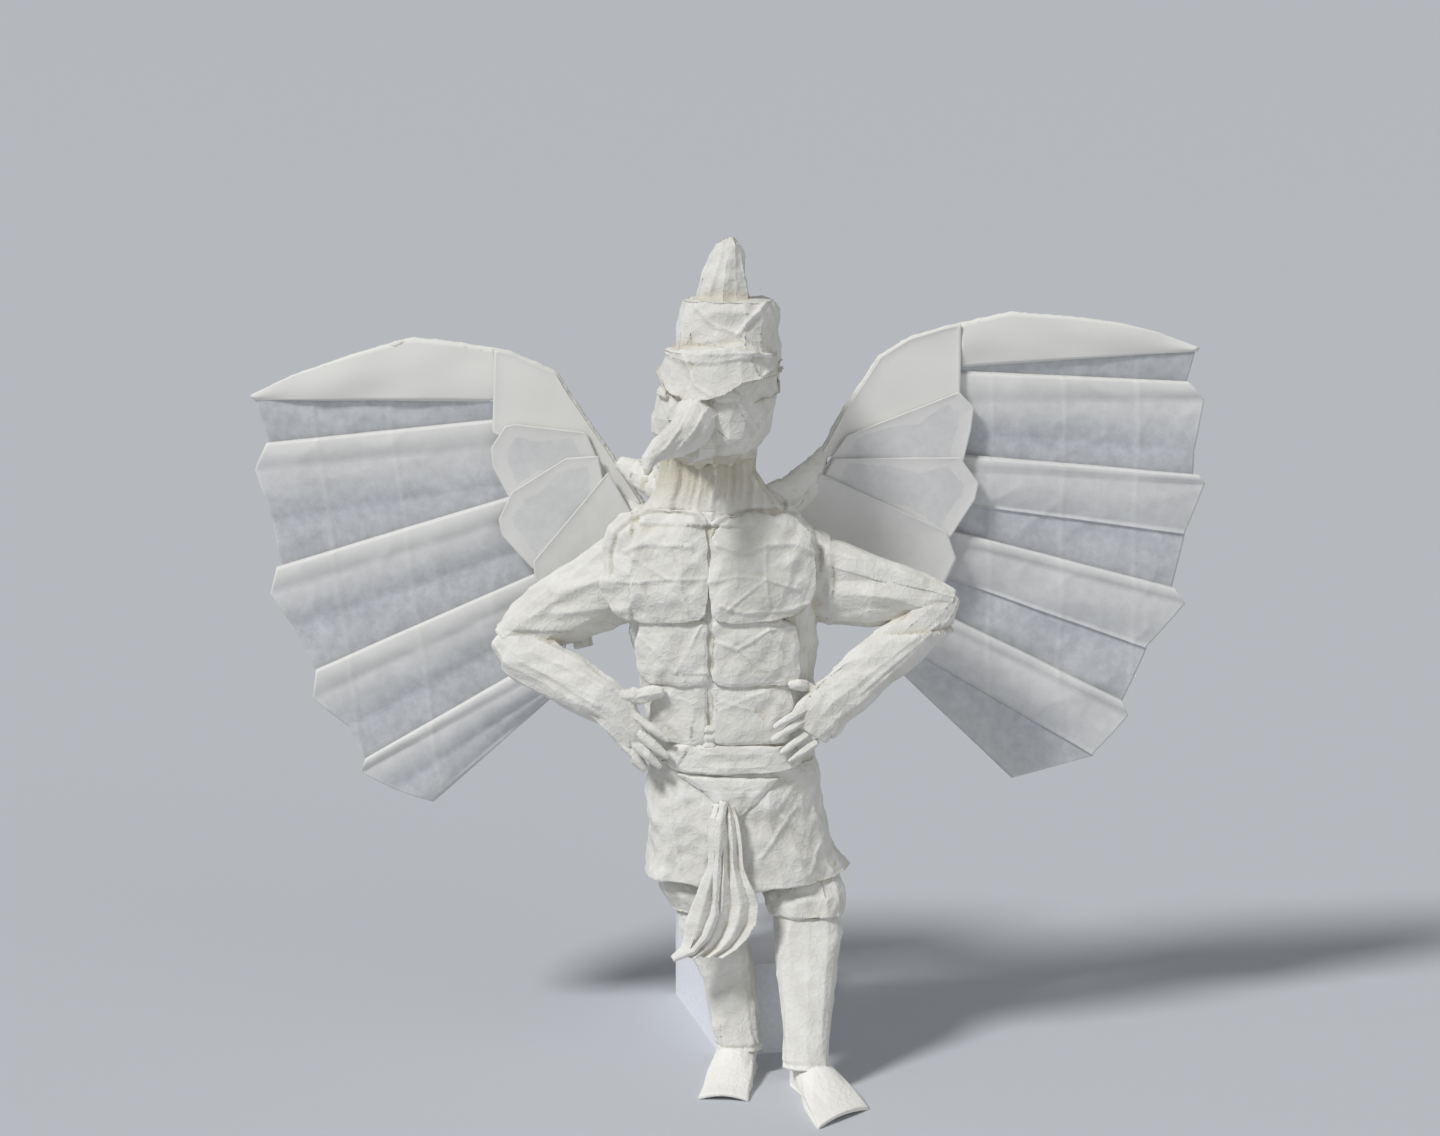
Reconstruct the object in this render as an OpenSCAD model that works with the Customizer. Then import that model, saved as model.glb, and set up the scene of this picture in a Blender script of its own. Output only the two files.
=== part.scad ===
// Winged bird-headed figure folded from one sheet of paper, with the card block it leans on.
// Millimetres, +Z up. The figure faces -Y, and +X is on the viewer's right.

/* [Paper] */
// Thickness of a flap where several layers of the sheet lie pressed together
flap_t = 1.0; // [0.7:0.1:1.6]
// Thickness of a wing panel
wing_t = 0.7; // [0.5:0.1:1.2]
// Depth of the hand-made facets in the body's skin
crumple = 0.35; // [0:0.05:0.6]

/* [Heights above the floor] */
// Lower edge of the trouser legs
ankle_z = 7; // [6:0.5:9]
// Lower edge of the knee cuffs
knee_z = 45; // [41:1:48]
// Hem of the skirt
hem_z = 53; // [50:1:58]
// Lower edge of the belt
belt_z = 85; // [81:1:88]
// Lower edge of the upper belly plates
ribs_z = 109; // [104:1:114]
// Lower edge of the chest plates
chest_z = 126; // [121:1:130]
// Top of the shoulders
shoulder_z = 155; // [151:1:159]
// Underside of the chin
chin_z = 169; // [166:1:172]
// Lower edge of the brow
brow_z = 187; // [184:1:190]
// Lower edge of the crown's band
band_z = 197; // [194:1:200]
// Upper edge of the crown's band
rim_z = 212.5; // [209:0.5:216]
// Tip of the crown
tip_z = 229; // [222:1:240]

/* [Body] */
// Width of the hem
hem_w = 56; // [50:1:62]
// Width of the waist
waist_w = 43; // [38:1:47]
// Width of the ribs
ribs_w = 48; // [44:1:52]
// Width of the torso behind the chest plates
chest_w = 54; // [50:1:58]
// Front-to-back depth of the torso
torso_d = 27; // [24:1:30]
// Width of one chest plate
pec_w = 28; // [25:1:30]
// How far a plate's lower edge stands off the body
plate_lift = 1.2; // [0.6:0.1:2]

/* [Head] */
// Width of the head at the cheeks
head_w = 33; // [30:1:36]
// Turn of the head towards the viewer's left
head_turn = 28; // [15:1:40]
// Width of the crown's band
band_w = 28; // [25:1:31]
// Width of the crown's cone at its foot
cone_w = 17; // [14:1:20]
// Reach of the beak in front of the face
beak_reach = 22; // [16:1:26]

/* [Limbs] */
// Width of an upper arm at its middle
upper_arm_w = 19; // [16:1:22]
// Width of a forearm at its middle
forearm_w = 14; // [12:1:16]
// Width of a finger
finger_w = 2.2; // [1.8:0.1:2.8]
// Width of a calf at its middle
calf_w = 17.5; // [15:0.5:20]
// Width of a trouser leg at the ankle
ankle_w = 12; // [10:0.5:14]
// Length of a foot
foot_l = 34; // [30:1:38]
// Width of a foot at the toes
toe_w = 13.5; // [11:0.5:16]
// How far the right foot stands in front of the left one
stride = 16; // [10:1:20]

/* [Wings] */
// Reach of a wing from the figure's middle to its tip
wing_reach = 132.8; // [120:0.2:146]
// Distance of the wings' root behind the spine
wing_y = 20; // [17:0.5:23]
// How far the wings' tips lie behind their root
wing_sweep = 6; // [0:0.5:12]
// Depth of a wing pleat, front fold to back fold
pleat_d = 3; // [2:0.25:4]
// Hidden overlap of a wing pleat
pleat_tuck = 6; // [4:0.5:7]
// Thickness of the rolled leading edge
spar_d = 2.6; // [2:0.1:3.5]

/* [Support block] */
// Width of the block
block_w = 30; // [24:1:36]
// Front-to-back length of the block
block_l = 60; // [50:1:66]
// Height of the block
block_h = 26; // [20:1:32]
// Turn of the block
block_turn = 13; // [6:1:18]
// Gap between the block's corner and the calf that leans on it
block_gap = 0.2; // [0.1:0.1:0.5]

/* [Hidden] */
paper = "#e4e0d4";
card = "#d3d6de";

// Plain vector and curve helpers

function mix(a, b, t) = a + (b - a) * t;
function unit(v) = v / norm(v);
function middle(points) = [for (k = [0 : 2]) sum_of(points, k) / len(points)];
function sum_of(points, k, i = 0) = i == len(points) ? 0 : points[i][k] + sum_of(points, k, i + 1);
function bent(v, p) = sign(v) * pow(abs(v), p);
function turned(p, a) = [p[0] * cos(a) - p[1] * sin(a), p[0] * sin(a) + p[1] * cos(a)];

// Level section: an oval with its own depth to front and back, squared off and turned about its centre
function section(z, c, w, front, back, n = 24, square = 2.4, turn = 0) = [
    for (i = [0 : n - 1])
        let (
            a = 360 * i / n,
            y = cos(a) > 0 ? -front : back,
            q = turned([w * bent(sin(a), 2 / square), y * pow(abs(cos(a)), 2 / square)], turn)
        )
        [c[0] + q[0], c[1] + q[1], z]
];

// Section across a limb at one station [centre, half width, half depth], square to its path
function across(station, tangent, n) =
    let (
        depth = unit([0, 1, 0] - tangent[1] * tangent),
        side = cross(depth, tangent)
    )
    [
        for (i = [0 : n - 1])
            let (a = 360 * i / n)
            station[0] + side * (station[1] * sin(a)) - depth * (station[2] * cos(a))
    ];

// Sections along a limb, each square to the way from the station before it to the one after it
function limb(stations, n = 12) = [
    for (i = [0 : len(stations) - 1])
        let (
            before = stations[max(i - 1, 0)][0],
            after = stations[min(i + 1, len(stations) - 1)][0]
        )
        across(stations[i], unit(after - before), n)
];

// Facets of crumpled paper: each point moves a little in or out, the same way on every build
function crumpled(rings, seed) = [
    for (j = [0 : len(rings) - 1])
        let (
            m = middle(rings[j]),
            moves = rands(-crumple, crumple, len(rings[j]), seed + j)
        )
        [for (i = [0 : len(rings[j]) - 1]) rings[j][i] + unit(rings[j][i] - m) * moves[i]]
];

// Closed skin through rings of equal length, with the folds' diagonals alternating
module skin(rings) {
    n = len(rings[0]);
    last = len(rings) - 1;
    foot = n * (last + 1);
    points = concat([for (r = rings) each r], [middle(rings[0]), middle(rings[last])]);
    sides = [
        for (j = [0 : last - 1], i = [0 : n - 1])
            let (
                k = (i + 1) % n,
                a = j * n + i,
                b = j * n + k,
                c = (j + 1) * n + k,
                d = (j + 1) * n + i
            )
            each (i + j) % 2 == 0 ? [[a, d, c], [a, c, b]] : [[a, d, b], [b, d, c]]
    ];
    caps = [
        for (i = [0 : n - 1])
            let (k = (i + 1) % n)
            each [[foot, i, k], [foot + 1, last * n + k, last * n + i]]
    ];
    polyhedron(points, concat(sides, caps));
}

// Thin sheet over a grid of front points, rows from top to bottom
module sheet(grid, t) {
    rows = len(grid);
    cols = len(grid[0]);
    size = rows * cols;
    facing = cross(grid[0][cols - 1] - grid[0][0], grid[rows - 1][0] - grid[0][0])[1];
    points = concat([for (r = grid) each r], [for (r = grid, p = r) p + [0, t, 0]]);
    fronts = [
        for (r = [0 : rows - 2], c = [0 : cols - 2])
            let (a = r * cols + c, b = a + 1, d = a + cols, e = d + 1)
            each [[a, b, e], [a, e, d]]
    ];
    backs = [for (f = fronts) [f[2] + size, f[1] + size, f[0] + size]];
    rim = concat(
        [for (c = [0 : cols - 1]) c],
        [for (r = [1 : rows - 1]) r * cols + cols - 1],
        [for (c = [cols - 2 : -1 : 0]) (rows - 1) * cols + c],
        [for (r = [rows - 2 : -1 : 1]) r * cols]
    );
    edges = [
        for (i = [0 : len(rim) - 1])
            let (a = rim[i], b = rim[(i + 1) % len(rim)])
            each [[b, a, a + size], [b, a + size, b + size]]
    ];
    faces = concat(fronts, backs, edges);
    polyhedron(points, facing > 0 ? faces : [for (f = faces) [f[2], f[1], f[0]]]);
}

// Rounded plate on the front of the body, squarer on its inner side, its lower edge lifted like a shingle
module plate(c, w, h, square, inner, dome, proud = 0, n = 16) {
    profile = [[0.9, 4], [1, flap_t], [1, 0], [0.9, -0.35], [0.5, -0.3 - dome]];
    skin([
        for (p = profile) [
            for (i = [0 : n - 1])
                let (
                    a = 360 * (i + 0.5) / n,
                    q = cos(a) * inner > 0 ? 7 : square,
                    x = c[0] + p[0] * w / 2 * bent(cos(a), 2 / q),
                    z = c[1] + p[0] * h / 2 * bent(sin(a), 2 / q),
                    lift = plate_lift * (1 - (z - c[1] + h / 2) / h)
                )
                [x, body_y(x, z) + p[1] - (p[1] < 2 ? lift + proud : 0), z]
        ]
    ]);
}

// Body: spine, widths and front of the torso by height

spine = [[hem_z, 5], [belt_z, 2], [ribs_z, -0.4], [chest_z, -1.2], [shoulder_z, -4.5]];
widths = [
    [hem_z, hem_w / 2],
    [belt_z, waist_w / 2 + 0.5],
    [mix(belt_z, ribs_z, 0.4), waist_w / 2 + 0.5],
    [ribs_z, ribs_w / 2 - 0.5],
    [chest_z, ribs_w / 2 + 2],
    [mix(chest_z, shoulder_z, 0.4), chest_w / 2],
    [mix(chest_z, shoulder_z, 0.8), chest_w / 2 - 1],
    [shoulder_z, chest_w / 2 - 9]
];
fronts = [
    [hem_z, torso_d / 2 + 4.5],
    [belt_z, torso_d / 2 + 0.5],
    [ribs_z, torso_d / 2],
    [chest_z, torso_d / 2 + 0.5],
    [mix(chest_z, shoulder_z, 0.5), torso_d / 2],
    [shoulder_z, torso_d / 2 - 4]
];
function body_y(x, z) =
    -lookup(z, fronts) * (1 - 0.32 * pow((x - lookup(z, spine)) / lookup(z, widths), 2));

module torso() {
    levels = [
        belt_z - 4, belt_z + 2, mix(belt_z, ribs_z, 0.4), mix(belt_z, ribs_z, 0.75),
        ribs_z, mix(ribs_z, chest_z, 0.5),
        chest_z, mix(chest_z, shoulder_z, 0.4), mix(chest_z, shoulder_z, 0.8), shoulder_z
    ];
    skin(crumpled([
        for (z = levels)
            let (front = lookup(z, fronts))
            section(z, [lookup(z, spine), 0], lookup(z, widths), front, front - 0.5, 24, 2.6)
    ], 10));
}

// Chest and belly plates in pairs beside the centre crease, and the rolled knot at the navel
module front_plates() {
    crease = -5;
    gap = 0.5;
    top = shoulder_z + 0.8;
    upper_h = chest_z - ribs_z + 1.5;
    upper_z = (chest_z + ribs_z) / 2 + 0.6;
    lower_h = ribs_z - belt_z - 6;
    lower_z = belt_z + 8 + lower_h / 2;
    belly = ribs_w / 2 - 4;
    plate([crease - gap - pec_w / 2, (chest_z + top) / 2], pec_w, top - chest_z, 3, 1, 1, 0.6);
    plate([crease + gap + pec_w / 2, (chest_z + top) / 2 - 0.5], pec_w + 0.8, top - chest_z - 1, 3, -1, 1, 0.6);
    plate([crease - gap - belly / 2 + 0.6, upper_z], belly - 1, upper_h, 6, 1, 0.4, 0.2);
    plate([crease + gap + belly / 2 + 2, upper_z - 0.4], belly + 4, upper_h, 6, -1, 0.4, 0.2);
    plate([crease - gap - belly / 2 + 2.4, lower_z], belly - 5, lower_h, 7, 1, 0.2);
    plate([crease + gap + belly / 2 + 0.8, lower_z - 0.4], belly + 1.6, lower_h, 7, -1, 0.2);
    for (z = [belt_z + 7.2, belt_z + 9.4, belt_z + 11.6])
        hull()
            for (side = [-1, 1])
                translate([crease + side * 0.6, body_y(crease, z) - 0.4, z])
                    sphere(1.3, $fn = 6);
}

// Sloping shoulders and fluted neck, from the collar up to the chin
module neck() {
    flute = 1.1;
    flutes = 7;
    n = 28;
    levels = [
        [shoulder_z - 10, -4, 29, 8.6],
        [shoulder_z - 3, -3.4, 24, 8.2],
        [shoulder_z + 2, -2.6, 18.6, 8.4],
        [mix(shoulder_z, chin_z, 0.4), -3.8, 14.6, 8.2],
        [mix(shoulder_z, chin_z, 0.75), -4.8, 12.2, 8.2],
        [chin_z + 3, -4.8, 12, 9]
    ];
    skin([
        for (l = levels) [
            for (i = [0 : n - 1])
                let (
                    a = 360 * i / n,
                    r = 1 + flute / l[2] * cos(flutes * a)
                )
                [l[1] + r * l[2] * sin(a), -r * l[3] * cos(a) - 0.5, l[0]]
        ]
    ]);
}

// Head: cheeks and skull, the brow's visor, eyelids and the hooked beak, all turned to one side

head_c = [-3, -3.5];
function face(a, r) = concat(head_c + turned([r * sin(a), -r * cos(a)], -head_turn), [0]);

module skull() {
    half = head_w / 2;
    levels = [
        [chin_z - 1, [-5, -3], half - 8, half - 8],
        [chin_z + 2, [-5, -4], half - 4, half - 5],
        [mix(chin_z, brow_z, 0.4), [-4.4, -4], half, half - 2],
        [mix(chin_z, brow_z, 0.65), [-4.2, -4], half + 0.5, half - 1.5],
        [brow_z, [-3, -4], half, half - 1.5],
        [mix(brow_z, band_z, 0.6), [-1.8, -4], half - 0.4, half - 2],
        [band_z + 2, [-0.6, -3], half - 2.2, half - 3.5]
    ];
    skin(crumpled([
        for (l = levels)
            section(l[0], l[1], l[2], l[3], l[3], 18, 2.3, -head_turn)
    ], 40));
}

// The visor dips over the beak and rises over each eye, with a rolled upper edge
module brow() {
    n = 16;
    reach = 118;
    heights = [0, 0.1, 0.26, 0.34, 0.7, 1];
    swells = [-1, 0.6, 0.9, 0.6, 1.4, 2.4];
    rows = [
        for (k = [0 : 5]) [
            for (i = [0 : n])
                let (
                    a = mix(-reach, reach, i / n),
                    dip = 4.4 / (1 + exp((abs(a) - 34) / 5)),
                    low = brow_z + 4 - dip + abs(a) / 50,
                    high = band_z + 3.4 - 2 * pow(a / reach, 2),
                    out = swells[k] - 2.2 * pow(abs(a) / reach, 3),
                    p = face(a, head_w / 2 + out - 0.3)
                )
                [p[0] + 1.6, p[1], mix(high, low, heights[k])]
        ]
    ];
    inner = [for (k = [5 : -1 : 0]) [for (p = rows[k]) mix(p, [head_c[0], head_c[1], p[2] + 1], 0.25)]];
    rings = concat(rows, inner);
    skin([for (i = [0 : n]) [for (k = [0 : len(rings) - 1]) rings[k][i]]]);
}

// Rounded lower lid of each eye, and the strap that runs from the right eye to the ear
module eyelids() {
    for (side = [-1, 1])
        hull()
            for (t = [-8, 0, 8]) {
                p = face(side * 38 + t, head_w / 2 - 0.4);
                translate([p[0], p[1], brow_z + 1 - abs(t) * 0.06])
                    sphere(2.2 - abs(t) * 0.06, $fn = 8);
            }
    skin([
        for (a = [46 : 16 : 110])
            let (
                z = brow_z + (a - 46) * 0.03,
                inside = face(a, head_w / 2 - 6),
                outside = face(a, head_w / 2 - 0.3)
            )
            [
                inside + [1, 0, z - 2.4],
                inside + [1, 0, z + 7.4],
                outside + [1, 0, z + 6.6],
                outside + [1, 0, z - 2]
            ]
    ]);
}

// Hooked upper beak over a short lower one
module beak() {
    root = face(0, head_w / 2 - 5);
    reach = beak_reach;
    skin(limb([
        [root + [2, 0, brow_z - 4.5], 6.8, 6.2],
        [root + [-0.5, -0.2 * reach, brow_z - 5.2], 6.6, 6],
        [root + [-1.6, -0.36 * reach, brow_z - 8], 6, 5.6],
        [root + [-5.2, -0.6 * reach, brow_z - 9.8], 4.8, 4.4],
        [root + [-9.6, -0.86 * reach, brow_z - 11.4], 3.3, 3],
        [root + [-12.2, -1.0 * reach, brow_z - 13.8], 2.2, 2],
        [root + [-12.9, -1.06 * reach, brow_z - 17.6], 0.6, 0.6]
    ], 12));
    skin(limb([
        [root + [3, 2, brow_z - 13], 7, 5],
        [root + [1.6, -3, brow_z - 12.6], 6, 4.4],
        [root + [-1.5, -0.4 * reach, brow_z - 12.4], 4, 3]
    ], 8));
}

// Crown: a faceted band with a cone standing in it
module crown() {
    half = band_w / 2;
    skin(crumpled([
        section(band_z - 2, [0, -2], half + 0.4, half - 0.5, half - 0.5, 14, 2.8, -head_turn / 2),
        section(mix(band_z, rim_z, 0.45), [0, -2], half + 0.2, half - 1, half - 1, 14, 2.8, -head_turn / 2),
        section(rim_z - 3, [0.3, -2], half - 0.2, half - 1.4, half - 1.4, 14, 2.8, -head_turn / 2),
        section(rim_z, [0, -2], half - 1.8, half - 2.8, half - 2.8, 14, 2.8, -head_turn / 2),
        section(rim_z + 0.3, [0, -2], half - 4.5, half - 5.5, half - 5.5, 14, 2.8, -head_turn / 2)
    ], 60));
    foot = cone_w / 2;
    skin(crumpled([
        section(rim_z - 5, [-1.8, -3], foot + 0.5, foot - 1.5, foot - 1.5, 12, 2.2),
        section(mix(rim_z, tip_z, 0.35), [-1.1, -3], foot - 1.5, foot - 2.8, foot - 2.8, 12, 2.2),
        section(mix(rim_z, tip_z, 0.66), [-0.4, -2.6], foot - 3.2, foot - 4, foot - 4, 12, 2.2),
        section(mix(rim_z, tip_z, 0.88), [0.2, -2.3], foot - 4.9, foot - 5.4, foot - 5.4, 12, 2.2),
        section(tip_z, [0.9, -2], 1.1, 0.8, 0.8, 12, 2)
    ], 70));
}

// Arms akimbo: each a pair of limbs folded at the elbow, then a palm with its fingers

module finger(base, tip, w = finger_w) {
    hull() {
        translate(base)
            sphere(w / 2 + 0.3, $fn = 6);
        translate(mix(base, tip, 0.55) + [0, -0.5, 0.2])
            sphere(w / 2 + 0.1, $fn = 6);
        translate(tip)
            sphere(w / 2 - 0.3, $fn = 6);
    }
}

module left_arm() {
    up = upper_arm_w / 2;
    fore = forearm_w / 2;
    skin(crumpled(limb([
        [[-14, 0, shoulder_z - 14], up + 1, 9],
        [[-27, 1.5, shoulder_z - 18], up + 2.8, 7.5],
        [[-36, 1, shoulder_z - 23.6], up + 1.5, 7.5],
        [[-46, 1.5, shoulder_z - 29.2], up + 0.2, 7.2],
        [[-55, 1, shoulder_z - 34], up - 2.4, 6],
        [[-60.5, 0, shoulder_z - 37.5], up - 5, 4]
    ], 14), 100));
    skin(crumpled(limb([
        [[-61.5, 1, shoulder_z - 36], fore - 3.6, 4],
        [[-57.5, -1, shoulder_z - 39], fore - 0.2, 5.6],
        [[-50, -4, shoulder_z - 42.6], fore + 0.4, 6],
        [[-42, -7.5, shoulder_z - 46.4], fore, 5.6],
        [[-34.5, -11, shoulder_z - 50.2], fore - 0.6, 4.4],
        [[-30, -12.5, shoulder_z - 54], fore - 1, 3.2],
        [[-26.4, -13.5, shoulder_z - 59.4], fore - 2, 2.2],
        [[-25, -13.8, shoulder_z - 62.4], fore - 3.4, 1.5]
    ], 12), 120));
    skin(limb([
        [[-42, 5, shoulder_z - 29], 3, 3],
        [[-40, 5.5, shoulder_z - 36], 3.2, 3],
        [[-39.4, 5.5, shoulder_z - 39.4], 2.6, 2.2]
    ], 8));
    finger([-26.5, -13.5, shoulder_z - 53.6], [-16.4, -16, shoulder_z - 60.6]);
    finger([-25, -14, shoulder_z - 58.6], [-16.8, -15.8, shoulder_z - 65]);
    finger([-26, -14, shoulder_z - 61.5], [-18.6, -15.2, shoulder_z - 68]);
    finger([-27.6, -13.8, shoulder_z - 63], [-22.8, -14.4, shoulder_z - 69]);
    finger([-30, -11.5, shoulder_z - 49.5], [-24, -12.6, shoulder_z - 49.4], finger_w + 2.2);
    finger([-25, -12.6, shoulder_z - 49.6], [-18.6, -13.6, shoulder_z - 48], finger_w + 0.8);
}

module right_arm() {
    up = upper_arm_w / 2;
    fore = forearm_w / 2;
    skin(crumpled(limb([
        [[8, 0, shoulder_z - 16], up + 1, 9],
        [[21, 1.5, shoulder_z - 18.4], up + 3, 7.5],
        [[30, 0.8, shoulder_z - 21], up + 2.4, 8],
        [[39, 0.5, shoulder_z - 22.8], up + 1, 8],
        [[48, 0.5, shoulder_z - 23.6], up - 1.4, 7],
        [[56, 0, shoulder_z - 24.4], up - 4, 5.4],
        [[61.5, -0.5, shoulder_z - 25.4], up - 6.4, 3.4]
    ], 14), 140));
    skin(crumpled(limb([
        [[61.5, 0, shoulder_z - 24], fore - 4.4, 3],
        [[58.4, -1, shoulder_z - 27.6], fore - 1.2, 4.6],
        [[50, -3.5, shoulder_z - 34.6], fore + 0.1, 5.6],
        [[41.4, -6.5, shoulder_z - 40.8], fore + 0.5, 5.8],
        [[33.4, -10, shoulder_z - 46.8], fore + 0.2, 4.8],
        [[28, -12, shoulder_z - 50.6], fore + 0.2, 3.6],
        [[24, -13.5, shoulder_z - 55.4], fore - 0.2, 2.6],
        [[21.6, -14, shoulder_z - 59.2], fore - 1.6, 1.6]
    ], 12), 160));
    finger([23, -13.6, shoulder_z - 51.6], [12.8, -16.4, shoulder_z - 56.8]);
    finger([21, -14, shoulder_z - 55.2], [12.4, -16.4, shoulder_z - 60.4]);
    finger([22, -14, shoulder_z - 59], [14.8, -16, shoulder_z - 64]);
    finger([23.5, -14, shoulder_z - 62], [16.8, -15.6, shoulder_z - 66.6]);
    finger([26, -11, shoulder_z - 49.5], [20.8, -11.6, shoulder_z - 46.6], finger_w + 1.6);
    finger([21, -12, shoulder_z - 46.8], [17, -13, shoulder_z - 46], finger_w + 0.6);
}

// Belt, apron point, skirt and the pleated sash

module belt() {
    plate([2, belt_z + 3.4], waist_w - 6, 7.6, 3.4, 0, 0.2, 1.2);
}

module apron() {
    profile = [[0.8, 3], [1, flap_t], [1, -0.5], [0.8, -1], [0.3, -1.2]];
    corners = [[14, belt_z - 1.6], [-13.5, belt_z - 0.8], [2.7, belt_z - 12.4]];
    heart = [1.2, belt_z - 4.6];
    skin([
        for (p = profile) [
            for (i = [0 : 2], s = [0 : 0.25 : 0.75])
                let (
                    q = mix(heart, mix(corners[i], corners[(i + 1) % 3], s), p[0])
                )
                [q[0], body_y(q[0], q[1]) + p[1] - 1, q[1]]
        ]
    ]);
}

// The hem rises from its lowest point in front towards both hips
function hem_rise(a) = 3 * pow(sin(a / 2), 0.8) - 0.4 * sin(3 * a);

// Skirt: open below, ruffled a little towards the hem
module skirt() {
    wall = flap_t + 0.4;
    back = torso_d / 2;
    hem = hem_w / 2;
    waist = waist_w / 2 + 2;
    n = 24;
    drop = belt_z - hem_z;
    outside = [
        section(hem_z, [4.6, 0], hem + 0.4, back + 4.5, back + 4.5, n, 2.6),
        section(hem_z + 0.28 * drop, [3.5, 0], mix(hem, waist, 0.55), back + 3.6, back + 3.6, n, 2.7),
        section(hem_z + 0.62 * drop, [2.2, 0], mix(hem, waist, 0.9), back + 2.6, back + 2.6, n, 2.7),
        section(belt_z - 1, [2, 0], waist, back + 1.4, back + 1.4, n, 2.6),
        section(belt_z + 2, [2, 0], waist - 1.6, back + 0.4, back + 0.4, n, 2.6)
    ];
    deep = back + 4.5 - wall;
    lining = section(hem_z - 0.4, [4.6, 0], hem + 0.4 - wall, deep, deep, n, 2.6);
    inside = [
        section(hem_z + 9, [4.6, 0], hem - wall - 3, deep - 2.5, deep - 2.5, n, 2.6),
        [for (i = [0 : n - 1]) lining[i] + [0, 0, hem_rise(360 * i / n)]]
    ];
    ruffled = [
        for (r = [0 : len(outside) - 1])
            let (depth = [0.9, 0.7, 0.4, 0.2, 0][r])
            [
                for (i = [0 : n - 1])
                    let (
                        p = outside[r][i],
                        out = unit(p - middle(outside[r])),
                        rise = r == 0 ? hem_rise(360 * i / n) : 0
                    )
                    p + out * depth * sin(360 * i * 5 / n + 40 * r) + [0, 0, rise]
            ]
    ];
    skin(concat(inside, crumpled(ruffled, 200)));
}

// The sash hangs from under the apron's point in soft pleats and swings to the viewer's left
module sash() {
    rows = [
        [belt_z - 8.6, -3.4, 1.4, -17],
        [belt_z - 11.4, -4.8, 2.6, -18.6],
        [belt_z - 18, -5, 3.6, -19.4],
        [belt_z - 25, -5.4, 4.2, -20.2],
        [belt_z - 30, -7.4, 6, -20.8],
        [belt_z - 35, -9.4, 8.2, -21.2],
        [belt_z - 40, -11, 7.8, -21.6],
        [belt_z - 44, -11.8, 5.4, -22],
        [belt_z - 47, -12.8, 2.4, -22.6],
        [belt_z - 49.4, -15.4, -1.6, -23.2]
    ];
    folds = [0, 0.16, 0.3, 0.44, 0.58, 0.72, 0.86, 1];
    depths = [0.7, -0.5, 0.7, -1.2, 0.6, -1, 0.6, -0.8];
    sheet([
        for (row = rows) [
            for (k = [0 : len(folds) - 1])
                [mix(row[1], row[2], folds[k]), row[3] + depths[k], row[0]]
        ]
    ], flap_t + 0.2);
    skin(limb([
        [[-14.8, -24, belt_z - 49.6], 0.7, 0.7],
        [[-9.4, -23.6, belt_z - 47.4], 1.1, 1],
        [[-6, -23.2, belt_z - 43.6], 1.2, 1.1],
        [[-3.6, -22.6, belt_z - 37.4], 1.2, 1.1],
        [[-3.2, -21.6, belt_z - 30.4], 1.2, 1.1],
        [[-2.6, -20.6, belt_z - 22], 1.2, 1.1],
        [[-2, -19.2, belt_z - 12], 1.2, 1.1],
        [[-1, -17, belt_z - 8], 1.2, 1.1]
    ], 6));
    hull() {
        translate([-2.4, -15, belt_z - 9.4])
            sphere(2, $fn = 6);
        translate([1, -15, belt_z - 11])
            sphere(2, $fn = 6);
    }
}

// Legs: cuffs under the hem, trouser legs and feet

module leg(hip, knee, mid, ankle, seed) {
    calf = calf_w / 2;
    thin = ankle_w / 2;
    shin = knee_z - ankle_z;
    narrow = mix(thin, calf, 0.45);
    wide = mix(thin, calf, 0.85);
    n = 14;
    skin(crumpled([
        section(ankle_z, ankle, thin, thin - 0.4, thin - 0.4, n, 3.2),
        section(ankle_z + 0.2 * shin, mix(ankle, mid, 0.4), thin + 0.3, thin, thin, n, 3.2),
        section(ankle_z + 0.42 * shin, mix(ankle, mid, 0.85), narrow, thin + 0.8, thin + 0.8, n, 3.2),
        section(ankle_z + 0.62 * shin, mix(mid, knee, 0.3), wide, calf - 1, calf - 1.6, n, 3),
        section(ankle_z + 0.86 * shin, mix(mid, knee, 0.8), calf + 0.6, calf - 0.4, calf - 1, n, 3),
        section(knee_z + 0.6, knee, calf + 0.4, calf - 0.6, calf - 0.6, n, 2.6),
        section(knee_z - 0.4, knee, calf + 1.6, calf + 0.6, calf + 0.2, n, 2.6),
        section(mix(knee_z, hem_z, 0.6), mix(knee, hip, 0.3), calf + 3, calf + 1.4, calf + 1, n, 2.6),
        section(hem_z + 4, mix(knee, hip, 0.9), calf + 2.8, calf, calf, n, 2.6),
        section(hem_z + 14, hip, calf, calf - 1, calf - 1, n, 2.6)
    ], seed));
}

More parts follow.
